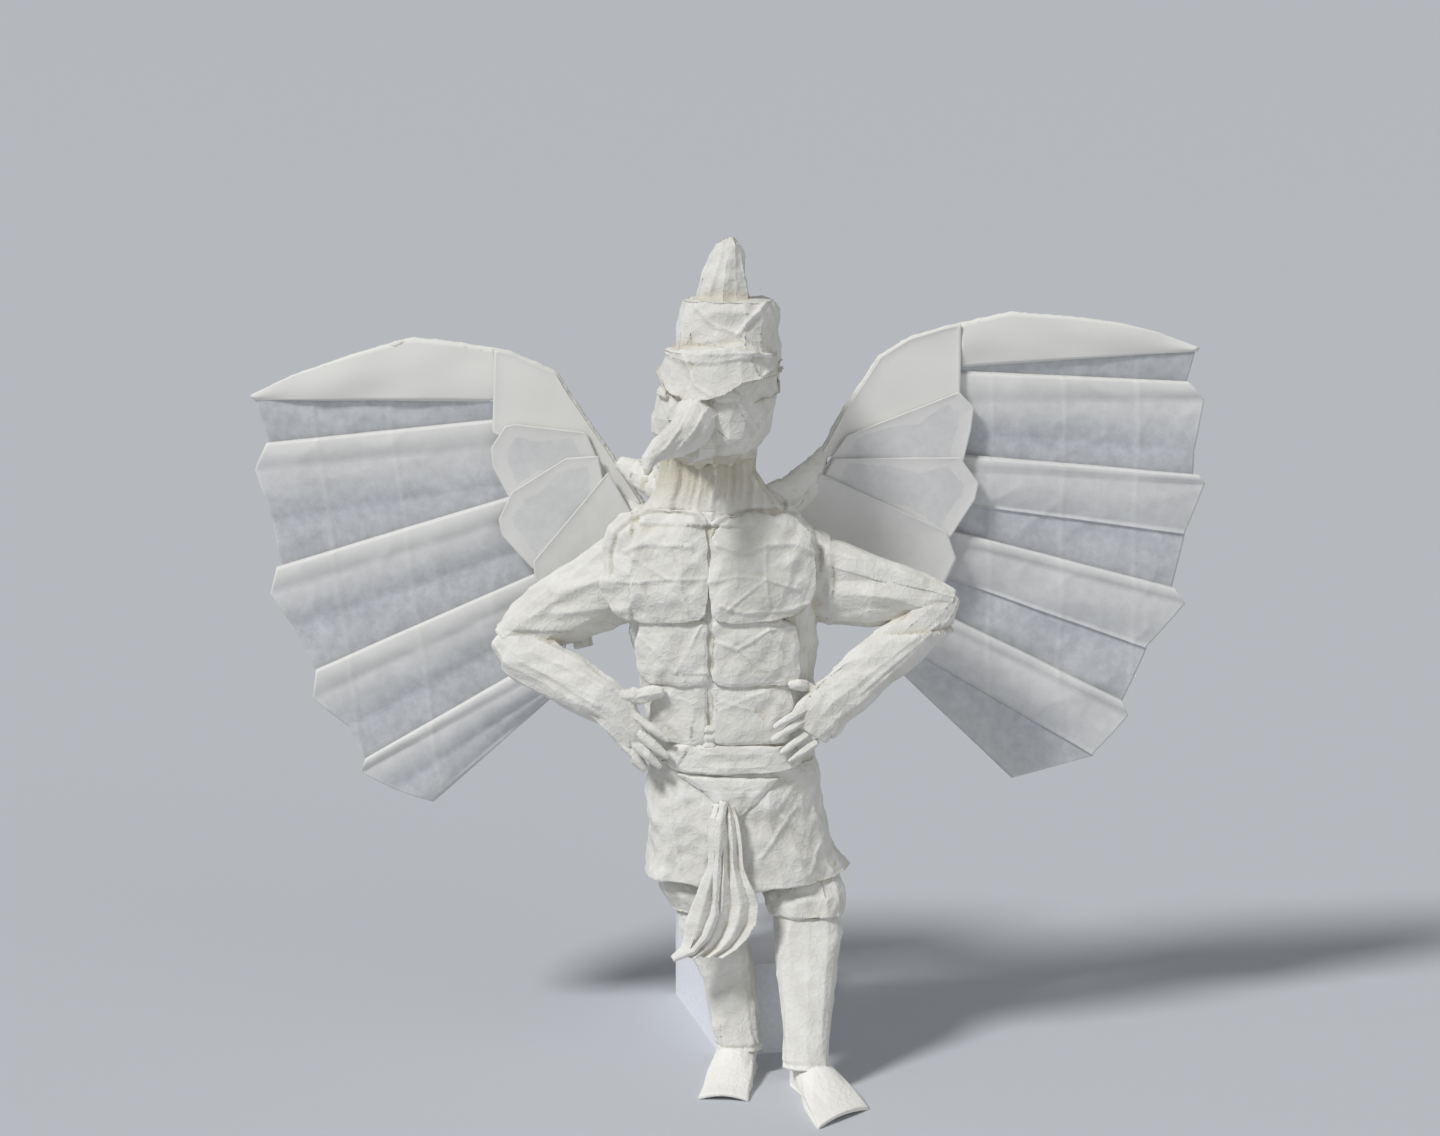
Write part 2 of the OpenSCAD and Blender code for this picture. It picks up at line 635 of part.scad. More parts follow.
// A foot is a flap bent forward: a wedge from the ankle to an arched toe edge, flat underneath at the heel
module foot(ankle, turn, skew, toe) {
    thin = ankle_w / 2;
    rise = ankle_z + 1.5;
    arch = 1.3;
    // [distance from the heel, half width, height of the top, arch of the underside]
    stations = [
        [0, thin - 1.6, rise, 0],
        [0.12 * foot_l, thin - 0.6, rise, 0],
        [0.42 * foot_l, thin - 0.4, rise - 0.5, 0],
        [0.62 * foot_l, mix(thin, toe, 0.5), 0.6 * rise, 0],
        [0.85 * foot_l, toe - 0.4, 0.32 * rise, 0.5 * arch],
        [foot_l, toe, flap_t + 0.1, arch]
    ];
    n = 6;
    translate([ankle[0], ankle[1] + 0.42 * foot_l - thin, 0])
        rotate([0, 0, turn])
            skin([
                for (i = [0 : n])
                    let (u = i / n * 2 - 1)
                    concat(
                        [
                            for (k = [5 : -1 : 0])
                                let (s = stations[k])
                                [u * s[1], -s[0] - slant(s[0], skew) * u, s[3] * (1 - u * u)]
                        ],
                        [
                            for (s = stations)
                                [
                                    u * (s[1] - 0.2),
                                    -s[0] - slant(s[0], skew) * u,
                                    max(s[2] * (1 - 0.3 * u * u), s[3] * (1 - u * u) + 0.8 * flap_t)
                                ]
                        ]
                    )
            ]);
}

// The toe edge is cut at a slant that grows over the front half of the foot
function slant(from_heel, skew) = from_heel > 0.5 * foot_l ? skew * (from_heel / foot_l - 0.5) : 0;

left_ankle = [3.4, -11.5];
right_ankle = [21, -11.5 - stride];
left_turn = -8;
right_turn = 16;
right_slant = 11;

module legs() {
    leg([-9, -2], [-5.4, -3.5], [0.2, -7.5], left_ankle, 300);
    leg([18, -2.5], [21.8, -7.5], [21.6, -11 - 0.4 * stride], right_ankle, 320);
    foot(left_ankle, left_turn, 0, toe_w / 2);
    foot(right_ankle, right_turn, -right_slant, toe_w / 2 + 2);
}

// Wings: knife-pleated fans of feathers under overlapping coverts and a rolled leading edge
// A wing's points are given as the way out from the middle and the way up from its root

wing_root_z = shoulder_z + 6;
wrist = 60;
drawn_reach = 132.8;
function spread(out) = out < wrist ? out : wrist + (out - wrist) * (wing_reach - wrist) / (drawn_reach - wrist);
function wing_point(p, y) = [
    $side * spread(p[0]),
    wing_y + wing_sweep * (p[0] - 25) / 105 + y,
    wing_root_z + p[1]
];
function along(line, k) = mix([line[0], line[1]], [line[2], line[3]], k);
function turning(o) = sum_of([for (i = [0 : len(o) - 1]) [cross(o[i], o[(i + 1) % len(o)])]], 0);

// Panel between two fold lines, each with its own depth
module panel(upper, upper_y, lower, lower_y) {
    steps = 2;
    sheet([
        for (q = [[upper, upper_y], [lower, lower_y]]) [
            for (k = [0 : steps])
                wing_point(along(q[0], k / steps), q[1] + 0.6 * sin(180 * k / steps))
        ]
    ], wing_t);
}

// Feathers from the top down: each ridge stands in front, and the panel above it tucks in behind
module feathers(band, ridges, tips, scallops, low) {
    near = -pleat_d / 2;
    far = pleat_d / 2;
    tops = concat([band], scallops);
    last = len(ridges) - 1;
    for (i = [0 : last]) {
        r = ridges[i];
        tuck = [r[0], r[1] - pleat_tuck, r[2] - 1.5, r[3] - 0.8 * pleat_tuck];
        panel(tops[i], i == 0 ? near : 0, tuck, far);
        panel(r, near, tuck, far);
        panel(r, near, tips[i], near + 0.4);
        panel(tips[i], near + 0.4, scallops[i], 0);
    }
    panel(scallops[last], 0, low, far);
}

// Leading edge: a folded band with a rolled rim that thins out towards the wing's tip
module leading_edge(edge, wrist, under) {
    n = len(edge) - 1;
    sheet([
        for (row = [0, 1]) [
            for (i = [wrist : n])
                let (k = (i - wrist) / (n - wrist))
                wing_point(row == 0 ? edge[i] : along(under, k), -pleat_d / 2 - 0.3 + row * 0.4)
        ]
    ], wing_t + 0.6);
    for (i = [0 : n - 1])
        hull()
            for (k = [i, i + 1])
                translate(wing_point(edge[k] - [0, 0.6], -pleat_d / 2 + 0.4))
                    sphere(spar_d / 2 * (1 - 0.5 * k / n), $fn = 6);
}

// Covert: a flat leaf that lies over the feathers' inner ends
module covert(outline, layer) {
    lie = -pleat_d / 2 - 1 - layer * 0.8;
    m = [for (k = [0, 1]) sum_of(outline, k) / len(outline)];
    order = turning(outline) * $side > 0 ? outline : [for (i = [len(outline) - 1 : -1 : 0]) outline[i]];
    skin([
        for (p = [[0.96, 2.2], [1, 1], [1, 0.1], [0.9, -0.1]]) [
            for (q = order)
                wing_point(mix(m, q, p[0]), lie + p[1])
        ]
    ]);
}

// Rolled paper that ties a wing to the back
module wing_root(top) {
    skin(limb([
        [[$side * 8 - 3, 2, shoulder_z - 10], 6, 5],
        [[$side * 14 - 2, 9, shoulder_z - 4], 5, 4],
        [[$side * 20 - 1, wing_y - 5, shoulder_z + top - 4], 4, 3.2],
        [[$side * 26, wing_y - 1.5, shoulder_z + top], 3.6, 2.6],
        [[$side * 33, wing_y - 0.5, shoulder_z + top + 5], 2.4, 1.6]
    ], 10));
}

// Gathered paper between the neck and a wing's root, given as [centre, radius] stations
module web(stations) {
    skin(limb([for (q = stations) [q[0], q[1], 0.8 * q[1]]], 8));
}

module left_wing() {
    $side = -1;
    edge = [
        [24, -7.5], [34, 8], [44.2, 23], [47.5, 28.8], [60, 34.2], [64.2, 35],
        [77, 37], [87, 38], [102.5, 33.6], [120.5, 27.4], [132, 21.8]
    ];
    leading_edge(edge, 5, [62, 20.5, 131, 20.5]);
    feathers(
        [58, 21, 131, 21],
        [[50, 17, 128, 8.5], [46, -1.5, 126, -26.5], [40, -21.5, 115.5, -55.5], [46, -48, 102, -81]],
        [[52, 9, 131.5, 1], [48, -9, 128, -34], [43, -29, 116.7, -64], [48, -54, 103.6, -85]],
        [[50, -1, 127, -13.5], [45, -17, 121.5, -44], [44, -38, 106.6, -72.4], [46, -58, 94, -90.2]],
        [40, -55, 83.3, -94]
    );
    covert([
        [24, -7.5], [34, 8], [44.2, 23], [47.5, 28.8], [60, 34.2], [64.2, 35],
        [65, 12], [58, 9], [40, 6], [28, -8]
    ], 0);
    covert([
        [39, 12.3], [58.6, 14.5], [61.4, 14], [65.4, 7.8], [65, 2.5], [60.5, -6], [44.5, 0], [33, -2]
    ], 1);
    covert([[35.6, 6], [44.5, 5.3], [59.7, -4.3], [63.4, -12], [62.6, -16.4], [54, -26], [33, -8]], 2);
    covert([[33, 1.6], [54, -23.8], [53.4, -29], [47, -36], [36, -30], [24, -14]], 3);
    wing_root(-4);
    web([
        [[-30, wing_y - 2, wing_root_z + 4], 1.8],
        [[-25, wing_y - 5, wing_root_z + 1.6], 4],
        [[-19, 9, wing_root_z - 0.8], 4.6],
        [[-13, 3, wing_root_z - 4], 4]
    ]);
}

module right_wing() {
    $side = 1;
    edge = [
        [23.6, 3.5], [27.4, 9], [32, 18], [38.4, 27.6], [42, 33.2], [50.2, 38.2], [59.5, 41], [64, 42],
        [77.4, 45], [95.4, 43.6], [108.7, 41.8], [118, 39.5], [130, 35]
    ];
    leading_edge(edge, 7, [64, 30, 128, 34]);
    feathers(
        [60, 31, 129, 34],
        [[52, 29.5, 127.6, 25.5], [50, 7, 131, -0.5], [45, -11, 125, -32.5], [48, -33, 110.8, -64.5]],
        [[58, 20, 132, 20.5], [54, 2, 132.8, -3], [50, -16, 128, -37], [50, -38, 112.7, -69]],
        [[56, 12, 129.6, 6], [50, -6, 127.6, -17], [48, -24, 117.6, -49.4], [46, -46, 103, -80]],
        [40, -48, 80.2, -87]
    );
    covert([
        [23.6, 3.5], [27.4, 9], [32, 18], [38.4, 27.6], [42, 33.2], [50.2, 38.2], [59.5, 41], [64, 42],
        [64, 18], [29, 6]
    ], 0);
    covert([[32.6, 11.5], [63.6, 23.4], [67.8, 19], [67, 12.6], [64.3, 1], [26, 2]], 1);
    covert([[29, 5.3], [64, 5.3], [69.4, -2], [68.4, -6.5], [61, -18], [25, -2]], 2);
    covert([
        [25.4, 1.3], [60.6, -15.3], [63.3, -23], [60.3, -29.5], [44, -32], [26, -18], [18, -15], [16, -6]
    ], 3);
    wing_root(5);
    web([
        [[27, wing_y - 1, wing_root_z + 7.5], 1.4],
        [[23.6, wing_y - 3, wing_root_z + 2.6], 3.2],
        [[17, 10, wing_root_z - 2.6], 3.8],
        [[9, 3, wing_root_z - 5], 3.8]
    ]);
}

// Placing: the whole stands centred front to back between the right toe and the block's far corner

function toe_corner(ankle, turn, slant) =
    turned([-toe_w / 2 - 2, -foot_l - slant / 2], turn) + ankle + [0, 0.42 * foot_l - ankle_w / 2];
calf_back = [
    [ankle_z, left_ankle[1] + ankle_w / 2 - 0.4],
    [mix(ankle_z, knee_z, 0.42), mix(left_ankle[1], -7.5, 0.85) + ankle_w / 2 + 0.8],
    [mix(ankle_z, knee_z, 0.62), mix(-7.5, -3.5, 0.3) + calf_w / 2 - 1.6]
];
block_corner = [-1.8, lookup(block_h, calf_back) + crumple + block_gap];
front_y = toe_corner(right_ankle, right_turn, right_slant)[1];
back_y = block_corner[1] + block_l * cos(block_turn) + block_w * sin(block_turn);
shift = [0, -(front_y + back_y) / 2, 0];

module folded_figure() {
    color(paper)
        translate(shift) {
            torso();
            front_plates();
            neck();
            skull();
            brow();
            eyelids();
            beak();
            crown();
            left_arm();
            right_arm();
            belt();
            apron();
            skirt();
            sash();
            legs();
            left_wing();
            right_wing();
        }
}

module support_block() {
    color(card)
        translate(shift)
            translate([block_corner[0], block_corner[1], 0])
                rotate([0, 0, block_turn])
                    cube([block_w, block_l, block_h]);
}

folded_figure();
support_block();
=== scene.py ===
# %% [markdown]
# # A winged figure folded from one sheet of paper
# The real object is a standing figure with a bird's head and two pleated wings. All of it is one sheet of
# thin, long-fibred paper: in the body dozens of layers were pressed together and shaped while damp, and in
# the wings only one to three layers lie over each other. The imported CAD part gives every place and size.
# This lesson adds what makes it paper: crumpled facets, pinched creases, thin edges and translucent layers.

# %% The CAD part, imported and laid out in the world frame
import math

import bmesh
import bpy
import numpy as np
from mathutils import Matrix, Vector, noise


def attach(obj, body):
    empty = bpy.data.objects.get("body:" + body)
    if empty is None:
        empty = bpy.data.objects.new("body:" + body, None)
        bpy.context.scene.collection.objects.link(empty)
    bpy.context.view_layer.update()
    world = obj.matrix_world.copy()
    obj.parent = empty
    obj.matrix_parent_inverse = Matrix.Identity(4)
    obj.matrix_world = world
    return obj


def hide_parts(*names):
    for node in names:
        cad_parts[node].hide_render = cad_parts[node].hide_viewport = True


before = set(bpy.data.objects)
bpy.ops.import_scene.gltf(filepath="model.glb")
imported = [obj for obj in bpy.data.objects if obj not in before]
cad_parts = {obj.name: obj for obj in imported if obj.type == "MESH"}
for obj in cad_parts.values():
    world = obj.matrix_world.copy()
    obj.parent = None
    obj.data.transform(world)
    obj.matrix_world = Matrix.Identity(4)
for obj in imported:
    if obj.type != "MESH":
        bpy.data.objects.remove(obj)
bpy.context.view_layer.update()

MM = 0.001

# %% [markdown]
# ## Floor, light and camera
# White paper shows its folds only where light falls across them, so one soft lamp stands high on the left, a
# weaker and wider one fills the other side, and a pale surrounding lifts the shadows. The floor is a plain
# pale grey, a little darker than the paper, so that white edges stand out against it.


# %% Colours as they are written on a colour chart
def to_linear(code):
    channels = [int(code[i : i + 2], 16) / 255 for i in (1, 3, 5)]
    linear = [c / 12.92 if c <= 0.04045 else ((c + 0.055) / 1.055) ** 2.4 for c in channels]
    return (*linear, 1.0)


# %% One small function that adds a node with its settings and links
def add_node(tree, kind, inputs=None, **settings):
    node = tree.nodes.new(kind)
    for name, value in settings.items():
        setattr(node, name, value)
    for name, value in (inputs or {}).items():
        socket = node.inputs[name]
        if isinstance(value, bpy.types.NodeSocket):
            tree.links.new(value, socket)
        else:
            socket.default_value = value
    return node


def new_material(name):
    material = bpy.data.materials.new(name)
    material.use_nodes = True
    tree = material.node_tree
    tree.nodes.clear()
    return material, tree


# %% Pale matt floor
def pale_floor_paint():
    material, tree = new_material("pale_matt_floor_paint")
    grey = to_linear("#c6c9ce")
    shader = add_node(tree, "ShaderNodeBsdfPrincipled", {"Base Color": grey, "Roughness": 0.9})
    add_node(tree, "ShaderNodeOutputMaterial", {"Surface": shader.outputs["BSDF"]})
    return material


FLOOR_HALF = 100.0
floor_mesh = bpy.data.meshes.new("floor")
corners = [(-1, -1), (1, -1), (1, 1), (-1, 1)]
floor_mesh.from_pydata([(x * FLOOR_HALF, y * FLOOR_HALF, 0.0) for x, y in corners], [], [(0, 1, 2, 3)])
floor_mesh.materials.append(pale_floor_paint())
floor = bpy.data.objects.new("floor", floor_mesh)
bpy.context.collection.objects.link(floor)
print("floor", 2 * FLOOR_HALF, "m wide")

# %% Soft lamps and a pale surrounding
TARGET = Vector((-0.0022, 0.0, 0.138))


def soft_lamp(name, place, spread, strength):
    lamp = bpy.data.lights.new(name, "SUN")
    lamp.angle = math.radians(spread)
    lamp.energy = strength
    holder = bpy.data.objects.new(name, lamp)
    holder.location = place
    holder.rotation_euler = (TARGET - Vector(place)).to_track_quat("-Z", "Y").to_euler()
    bpy.context.collection.objects.link(holder)


soft_lamp("key_lamp", (-0.62, -0.5, 1.0), 12, 2.25)
soft_lamp("fill_lamp", (0.9, -0.8, 0.5), 50, 0.35)

world = bpy.data.worlds.new("pale_studio")
bpy.context.scene.world = world
world.use_nodes = True
air = world.node_tree
air.nodes.clear()
surround = add_node(air, "ShaderNodeBackground", {"Color": to_linear("#e9ebee"), "Strength": 0.32})
add_node(air, "ShaderNodeOutputWorld", {"Surface": surround.outputs["Background"]})
bpy.context.scene.view_settings.view_transform = "Standard"

# %% [markdown]
# ## Camera
# The photograph was taken from a little above the chest, looking down by about ten degrees, from far enough
# away that the wings and the toes are drawn at nearly the same scale.

# %% Camera
CAMERA_DISTANCE = 0.9
CAMERA_DOWN = math.radians(10)
SENSOR = 36.0
FOCAL_IN_PIXELS = 3300
IMAGE_WIDTH = 1440
look = Vector((0.0, math.cos(CAMERA_DOWN), -math.sin(CAMERA_DOWN)))
lens = bpy.data.cameras.new("camera")
lens.sensor_width = SENSOR
lens.lens = SENSOR * FOCAL_IN_PIXELS / IMAGE_WIDTH
lens.clip_start = 0.01
lens.clip_end = 300.0
camera = bpy.data.objects.new("camera", lens)
camera.location = TARGET - look * CAMERA_DISTANCE
camera.rotation_euler = look.to_track_quat("-Z", "Y").to_euler()
bpy.context.collection.objects.link(camera)
bpy.context.scene.camera = camera
print("camera lens", round(lens.lens, 1), "mm")

# %% [markdown]
# ## Layered paper of the body
# The body is mulberry tissue: long fibres, no coating, many layers pasted on each other, dried into shape. It
# is matt and cream. Its ridges are painted lighter, as rubbed paper and as painted highlight, and its hollows
# are painted warmer and darker as painted shade. Fibres are about half a millimetre apart to the eye, and
# clouds in the pulp a few millimetres.


# %% Layered mulberry paper
def layered_paper():
    material, tree = new_material("layered_mulberry_paper")
    place = add_node(tree, "ShaderNodeTexCoord").outputs["Object"]
    cloud_mm = 7.0
    clouds = add_node(
        tree,
        "ShaderNodeTexNoise",
        {"Vector": place, "Scale": 1 / (cloud_mm * MM), "Detail": 4.0, "Roughness": 0.6},
    )
    pulp = add_node(tree, "ShaderNodeValToRGB", {"Fac": clouds.outputs["Fac"]})
    pulp.color_ramp.elements[0].position = 0.35
    pulp.color_ramp.elements[0].color = to_linear("#dcdad3")
    pulp.color_ramp.elements[1].position = 0.68
    pulp.color_ramp.elements[1].color = to_linear("#e8e7e2")
    # painted shade: the hollows of the skin get a warmer, darker colour
    hollow_shade = add_node(tree, "ShaderNodeAttribute", attribute_name="hollow_shade").outputs["Fac"]
    hollow_shaded = add_node(
        tree,
        "ShaderNodeMix",
        {"Factor": hollow_shade, "A": pulp.outputs["Color"], "B": to_linear("#c9c3b0")},
        data_type="RGBA",
    )
    # ridges lighter: partly rubbed paper, partly painted highlight
    rubbed_and_highlit = add_node(tree, "ShaderNodeAttribute", attribute_name="rubbed_and_highlit").outputs["Fac"]
    rubbed_and_highlit_tone = add_node(
        tree,
        "ShaderNodeMix",
        {"Factor": rubbed_and_highlit, "A": hollow_shaded.outputs["Result"], "B": to_linear("#f4f2ec")},
        data_type="RGBA",
    )
    fibre_mm = 0.5
    fibres = add_node(
        tree,
        "ShaderNodeTexNoise",
        {"Vector": place, "Scale": 1 / (fibre_mm * MM), "Detail": 3.0, "Distortion": 1.5},
    )
    wrinkle_mm = 2.2
    wrinkles = add_node(
        tree,
        "ShaderNodeTexVoronoi",
        {"Vector": place, "Scale": 1 / (wrinkle_mm * MM)},
        feature="DISTANCE_TO_EDGE",
    )
    lines = add_node(
        tree,
        "ShaderNodeMapRange",
        {"Value": wrinkles.outputs["Distance"], "From Max": 0.16, "To Min": 1.0, "To Max": 0.0},
    )
    fine = add_node(
        tree,
        "ShaderNodeBump",
        {"Strength": 0.22, "Distance": 0.12 * MM, "Height": fibres.outputs["Fac"]},
    )
    bump = add_node(
        tree,
        "ShaderNodeBump",
        {
            "Strength": 0.45,
            "Distance": 0.15 * MM,
            "Height": lines.outputs["Result"],
            "Normal": fine.outputs["Normal"],
        },
    )
    shader = add_node(
        tree,
        "ShaderNodeBsdfPrincipled",
        {
            "Base Color": rubbed_and_highlit_tone.outputs["Result"],
            "Roughness": 0.82,
            "IOR": 1.47,
            "Specular IOR Level": 0.35,
            "Normal": bump.outputs["Normal"],
        },
    )
    add_node(tree, "ShaderNodeOutputMaterial", {"Surface": shader.outputs["BSDF"]})
    return material


body_paper = layered_paper()

# %% [markdown]
# ## The body
# The CAD solid already has the folded forms: plates, limbs, head, skirt and sash, all with straight folds. To
# crumple it, its skin needs many small faces, so long edges are halved again and again until all are shorter
# than a millimetre. That keeps each fold as sharp as it is, where a remesh would round it off like clay. The
# wings are cut off first: paper that thin is made as sheets further down.

# %% The solid without its wings
WING_FROM_Y = 11.2 * MM
WING_ABOVE_Z = 95 * MM
WING_BEYOND_X = 33 * MM
LONGEST_EDGE = 0.8 * MM
MOST_HALVINGS = 7


def body_blank(source):
    work = bmesh.new()
    work.from_mesh(source.data)
    bmesh.ops.remove_doubles(work, verts=work.verts, dist=0.001 * MM)
    behind = [v for v in work.verts if v.co.y > WING_FROM_Y]
    wings = [v for v in behind if v.co.z > WING_ABOVE_Z or abs(v.co.x) > WING_BEYOND_X]
    bmesh.ops.delete(work, geom=wings, context="VERTS")
    rim = [e for e in work.edges if e.is_boundary]
    bmesh.ops.holes_fill(work, edges=rim, sides=0)
    bmesh.ops.triangulate(work, faces=[f for f in work.faces if len(f.verts) > 3])
    return work


def finely_divided(work, longest):
    flat = bpy.data.meshes.new("body_blank")
    work.to_mesh(flat)
    work.free()
    points = np.array([v.co for v in flat.vertices])
    faces = np.array([f.vertices for f in flat.polygons])
    for halving in range(MOST_HALVINGS):
        sides = np.sort(faces[:, [[0, 1], [1, 2], [2, 0]]].reshape(-1, 2), axis=1)
        edges, which = np.unique(sides, axis=0, return_inverse=True)
        which = which.reshape(-1, 3)
        split = np.linalg.norm(points[edges[:, 0]] - points[edges[:, 1]], axis=1) > longest
        if not split.any():
            break
        number = np.full(len(edges), -1)
        number[split] = len(points) + np.arange(split.sum())
        points = np.concatenate([points, points[edges[split]].mean(axis=1)])
        faces = halved(faces, number[which])
    mesh = bpy.data.meshes.new("body")
    mesh.from_pydata(points.tolist(), [], faces.tolist())
    return mesh


def halved(faces, new):
    parts = [faces[(new < 0).all(axis=1)]]
    marks = (new >= 0).sum(axis=1)
    for k in range(3):
        a, b, c = (faces[:, (k + i) % 3] for i in range(3))
        ab, bc, ca = (new[:, (k + i) % 3] for i in range(3))
        one = (marks == 1) & (ab >= 0)
        parts += [np.stack(t, axis=1)[one] for t in ([a, ab, c], [ab, b, c])]
        two = (marks == 2) & (ca < 0)
        parts += [np.stack(t, axis=1)[two] for t in ([ab, b, bc], [a, ab, bc], [a, bc, c])]
    a, b, c = faces.T
    ab, bc, ca = new.T
    three = marks == 3
    parts += [np.stack(t, axis=1)[three] for t in ([a, ab, ca], [ab, b, bc], [ca, bc, c], [ab, bc, ca])]
    return np.concatenate(parts)


body = finely_divided(body_blank(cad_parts["folded_figure"]), LONGEST_EDGE)
print("body triangles:", len(body.polygons))

# %% [markdown]
# ## Crumple
# Crumpled paper is made of nearly flat facets that meet in sharp, straight folds. A wave that rises and falls
# in straight lines gives just that: its height changes evenly and turns sharply at each crest. Several of
# them, each in a direction of its own, are added up in three sizes, and each fades in and out over the body so
# that no two places look alike. Along the neck and the arms the paper was drawn lengthwise, so the pattern is
# stretched there, and the neck has small upright pleats that end in a hollow under the chin.


# %% Points, normals and sharp folds
def values_of(mesh, what):
    flat = np.empty(len(mesh.vertices) * 3)
    mesh.vertices.foreach_get(what, flat)
    return flat.reshape(-1, 3)


def sharp_folds(points, count, length, slope, seed):
    chance = np.random.default_rng(seed)
    total = np.zeros(len(points))
    for fold in range(count):
        way = chance.normal(size=3)
        way /= np.linalg.norm(way)
        size = length * chance.uniform(0.7, 1.5)
        drift = np.sin(points @ chance.normal(size=3) / (2.4 * length) + chance.uniform(0, 6))
        fade = 0.5 + 0.5 * np.sin(points @ chance.normal(size=3) / (2.8 * length) + chance.uniform(0, 6))
        phase = points @ way / size + 0.3 * drift + chance.uniform()
        total += fade * slope * size * np.abs(phase % 1 - 0.5)
    return total - total.mean()


def ridges(points, size, shift):
    offset = Vector((shift, 2 * shift, 3 * shift))
    raw = np.array([noise.noise(Vector(p) + offset) for p in points / size])
    return np.clip(1 - 3.2 * np.abs(raw), 0, 1) ** 1.5


points = values_of(body, "co") / MM
normals = values_of(body, "normal")
stretched = points.copy()
on_neck = (points[:, 2] > 152) & (points[:, 2] < 171) & (np.abs(points[:, 0] + 4) < 20)
stretched[on_neck, 2] *= 0.25
on_arm = (np.abs(points[:, 0] - 1) > 27) & (points[:, 2] > 88)
arm_slope = np.where(points[:, 0] > 0, -0.35, 0.55)
run = points[:, 0] + np.where(points[:, 2] > 122, 1, -1) * arm_slope * points[:, 2]
stretched[on_arm, 0] -= 0.45 * run[on_arm]
# each size of crumple: number of folds, their spacing in mm, their slope, and the seed of their directions
CRUMPLE = [(6, 13, 0.11, 11), (7, 5.5, 0.1, 12), (6, 2.4, 0.08, 13)]
depth = np.zeros(len(points))
for number, spacing, slope, seed in CRUMPLE:
    depth += sharp_folds(stretched, number, spacing, slope, seed)
around_neck = np.arctan2(points[:, 0] + 4, -points[:, 1]) + 0.05 * np.sin(points[:, 2] / 3)
below_chin = np.clip((172 - points[:, 2]) / 4, 0, 1) * np.clip((points[:, 2] - 152) / 8, 0, 1)
pleats = 1.5 * np.abs(around_neck * 3.3 % 1 - 0.5) + 1.1 * np.abs(around_neck * 5.9 % 1 - 0.5)
depth += on_neck * below_chin * (pleats - 0.9)
on_shin = (points[:, 2] < 44) & (points[:, 2] > 8)
depth[on_shin] *= 0.7
depth[points[:, 2] < 8.5] *= 0.2
slender = (points[:, 1] < -21) | ((points[:, 1] < -17) & (points[:, 2] > 80) & (points[:, 2] < 112))
depth[slender] *= 0.4
depth[points[:, 2] > 172] *= 0.9
print("crumple, mm:", round(depth.min(), 2), "to", round(depth.max(), 2))

# %% [markdown]
# ## Pinched creases
# Besides the crumple, the folder pinched creases into the chest, the belly, the skirt and the arms. Each is a
# short line on the front of the figure, given by the way to the right and the height above the floor in
# millimetres. A raised crease has a positive height, and a hollow between two muscles a negative one.

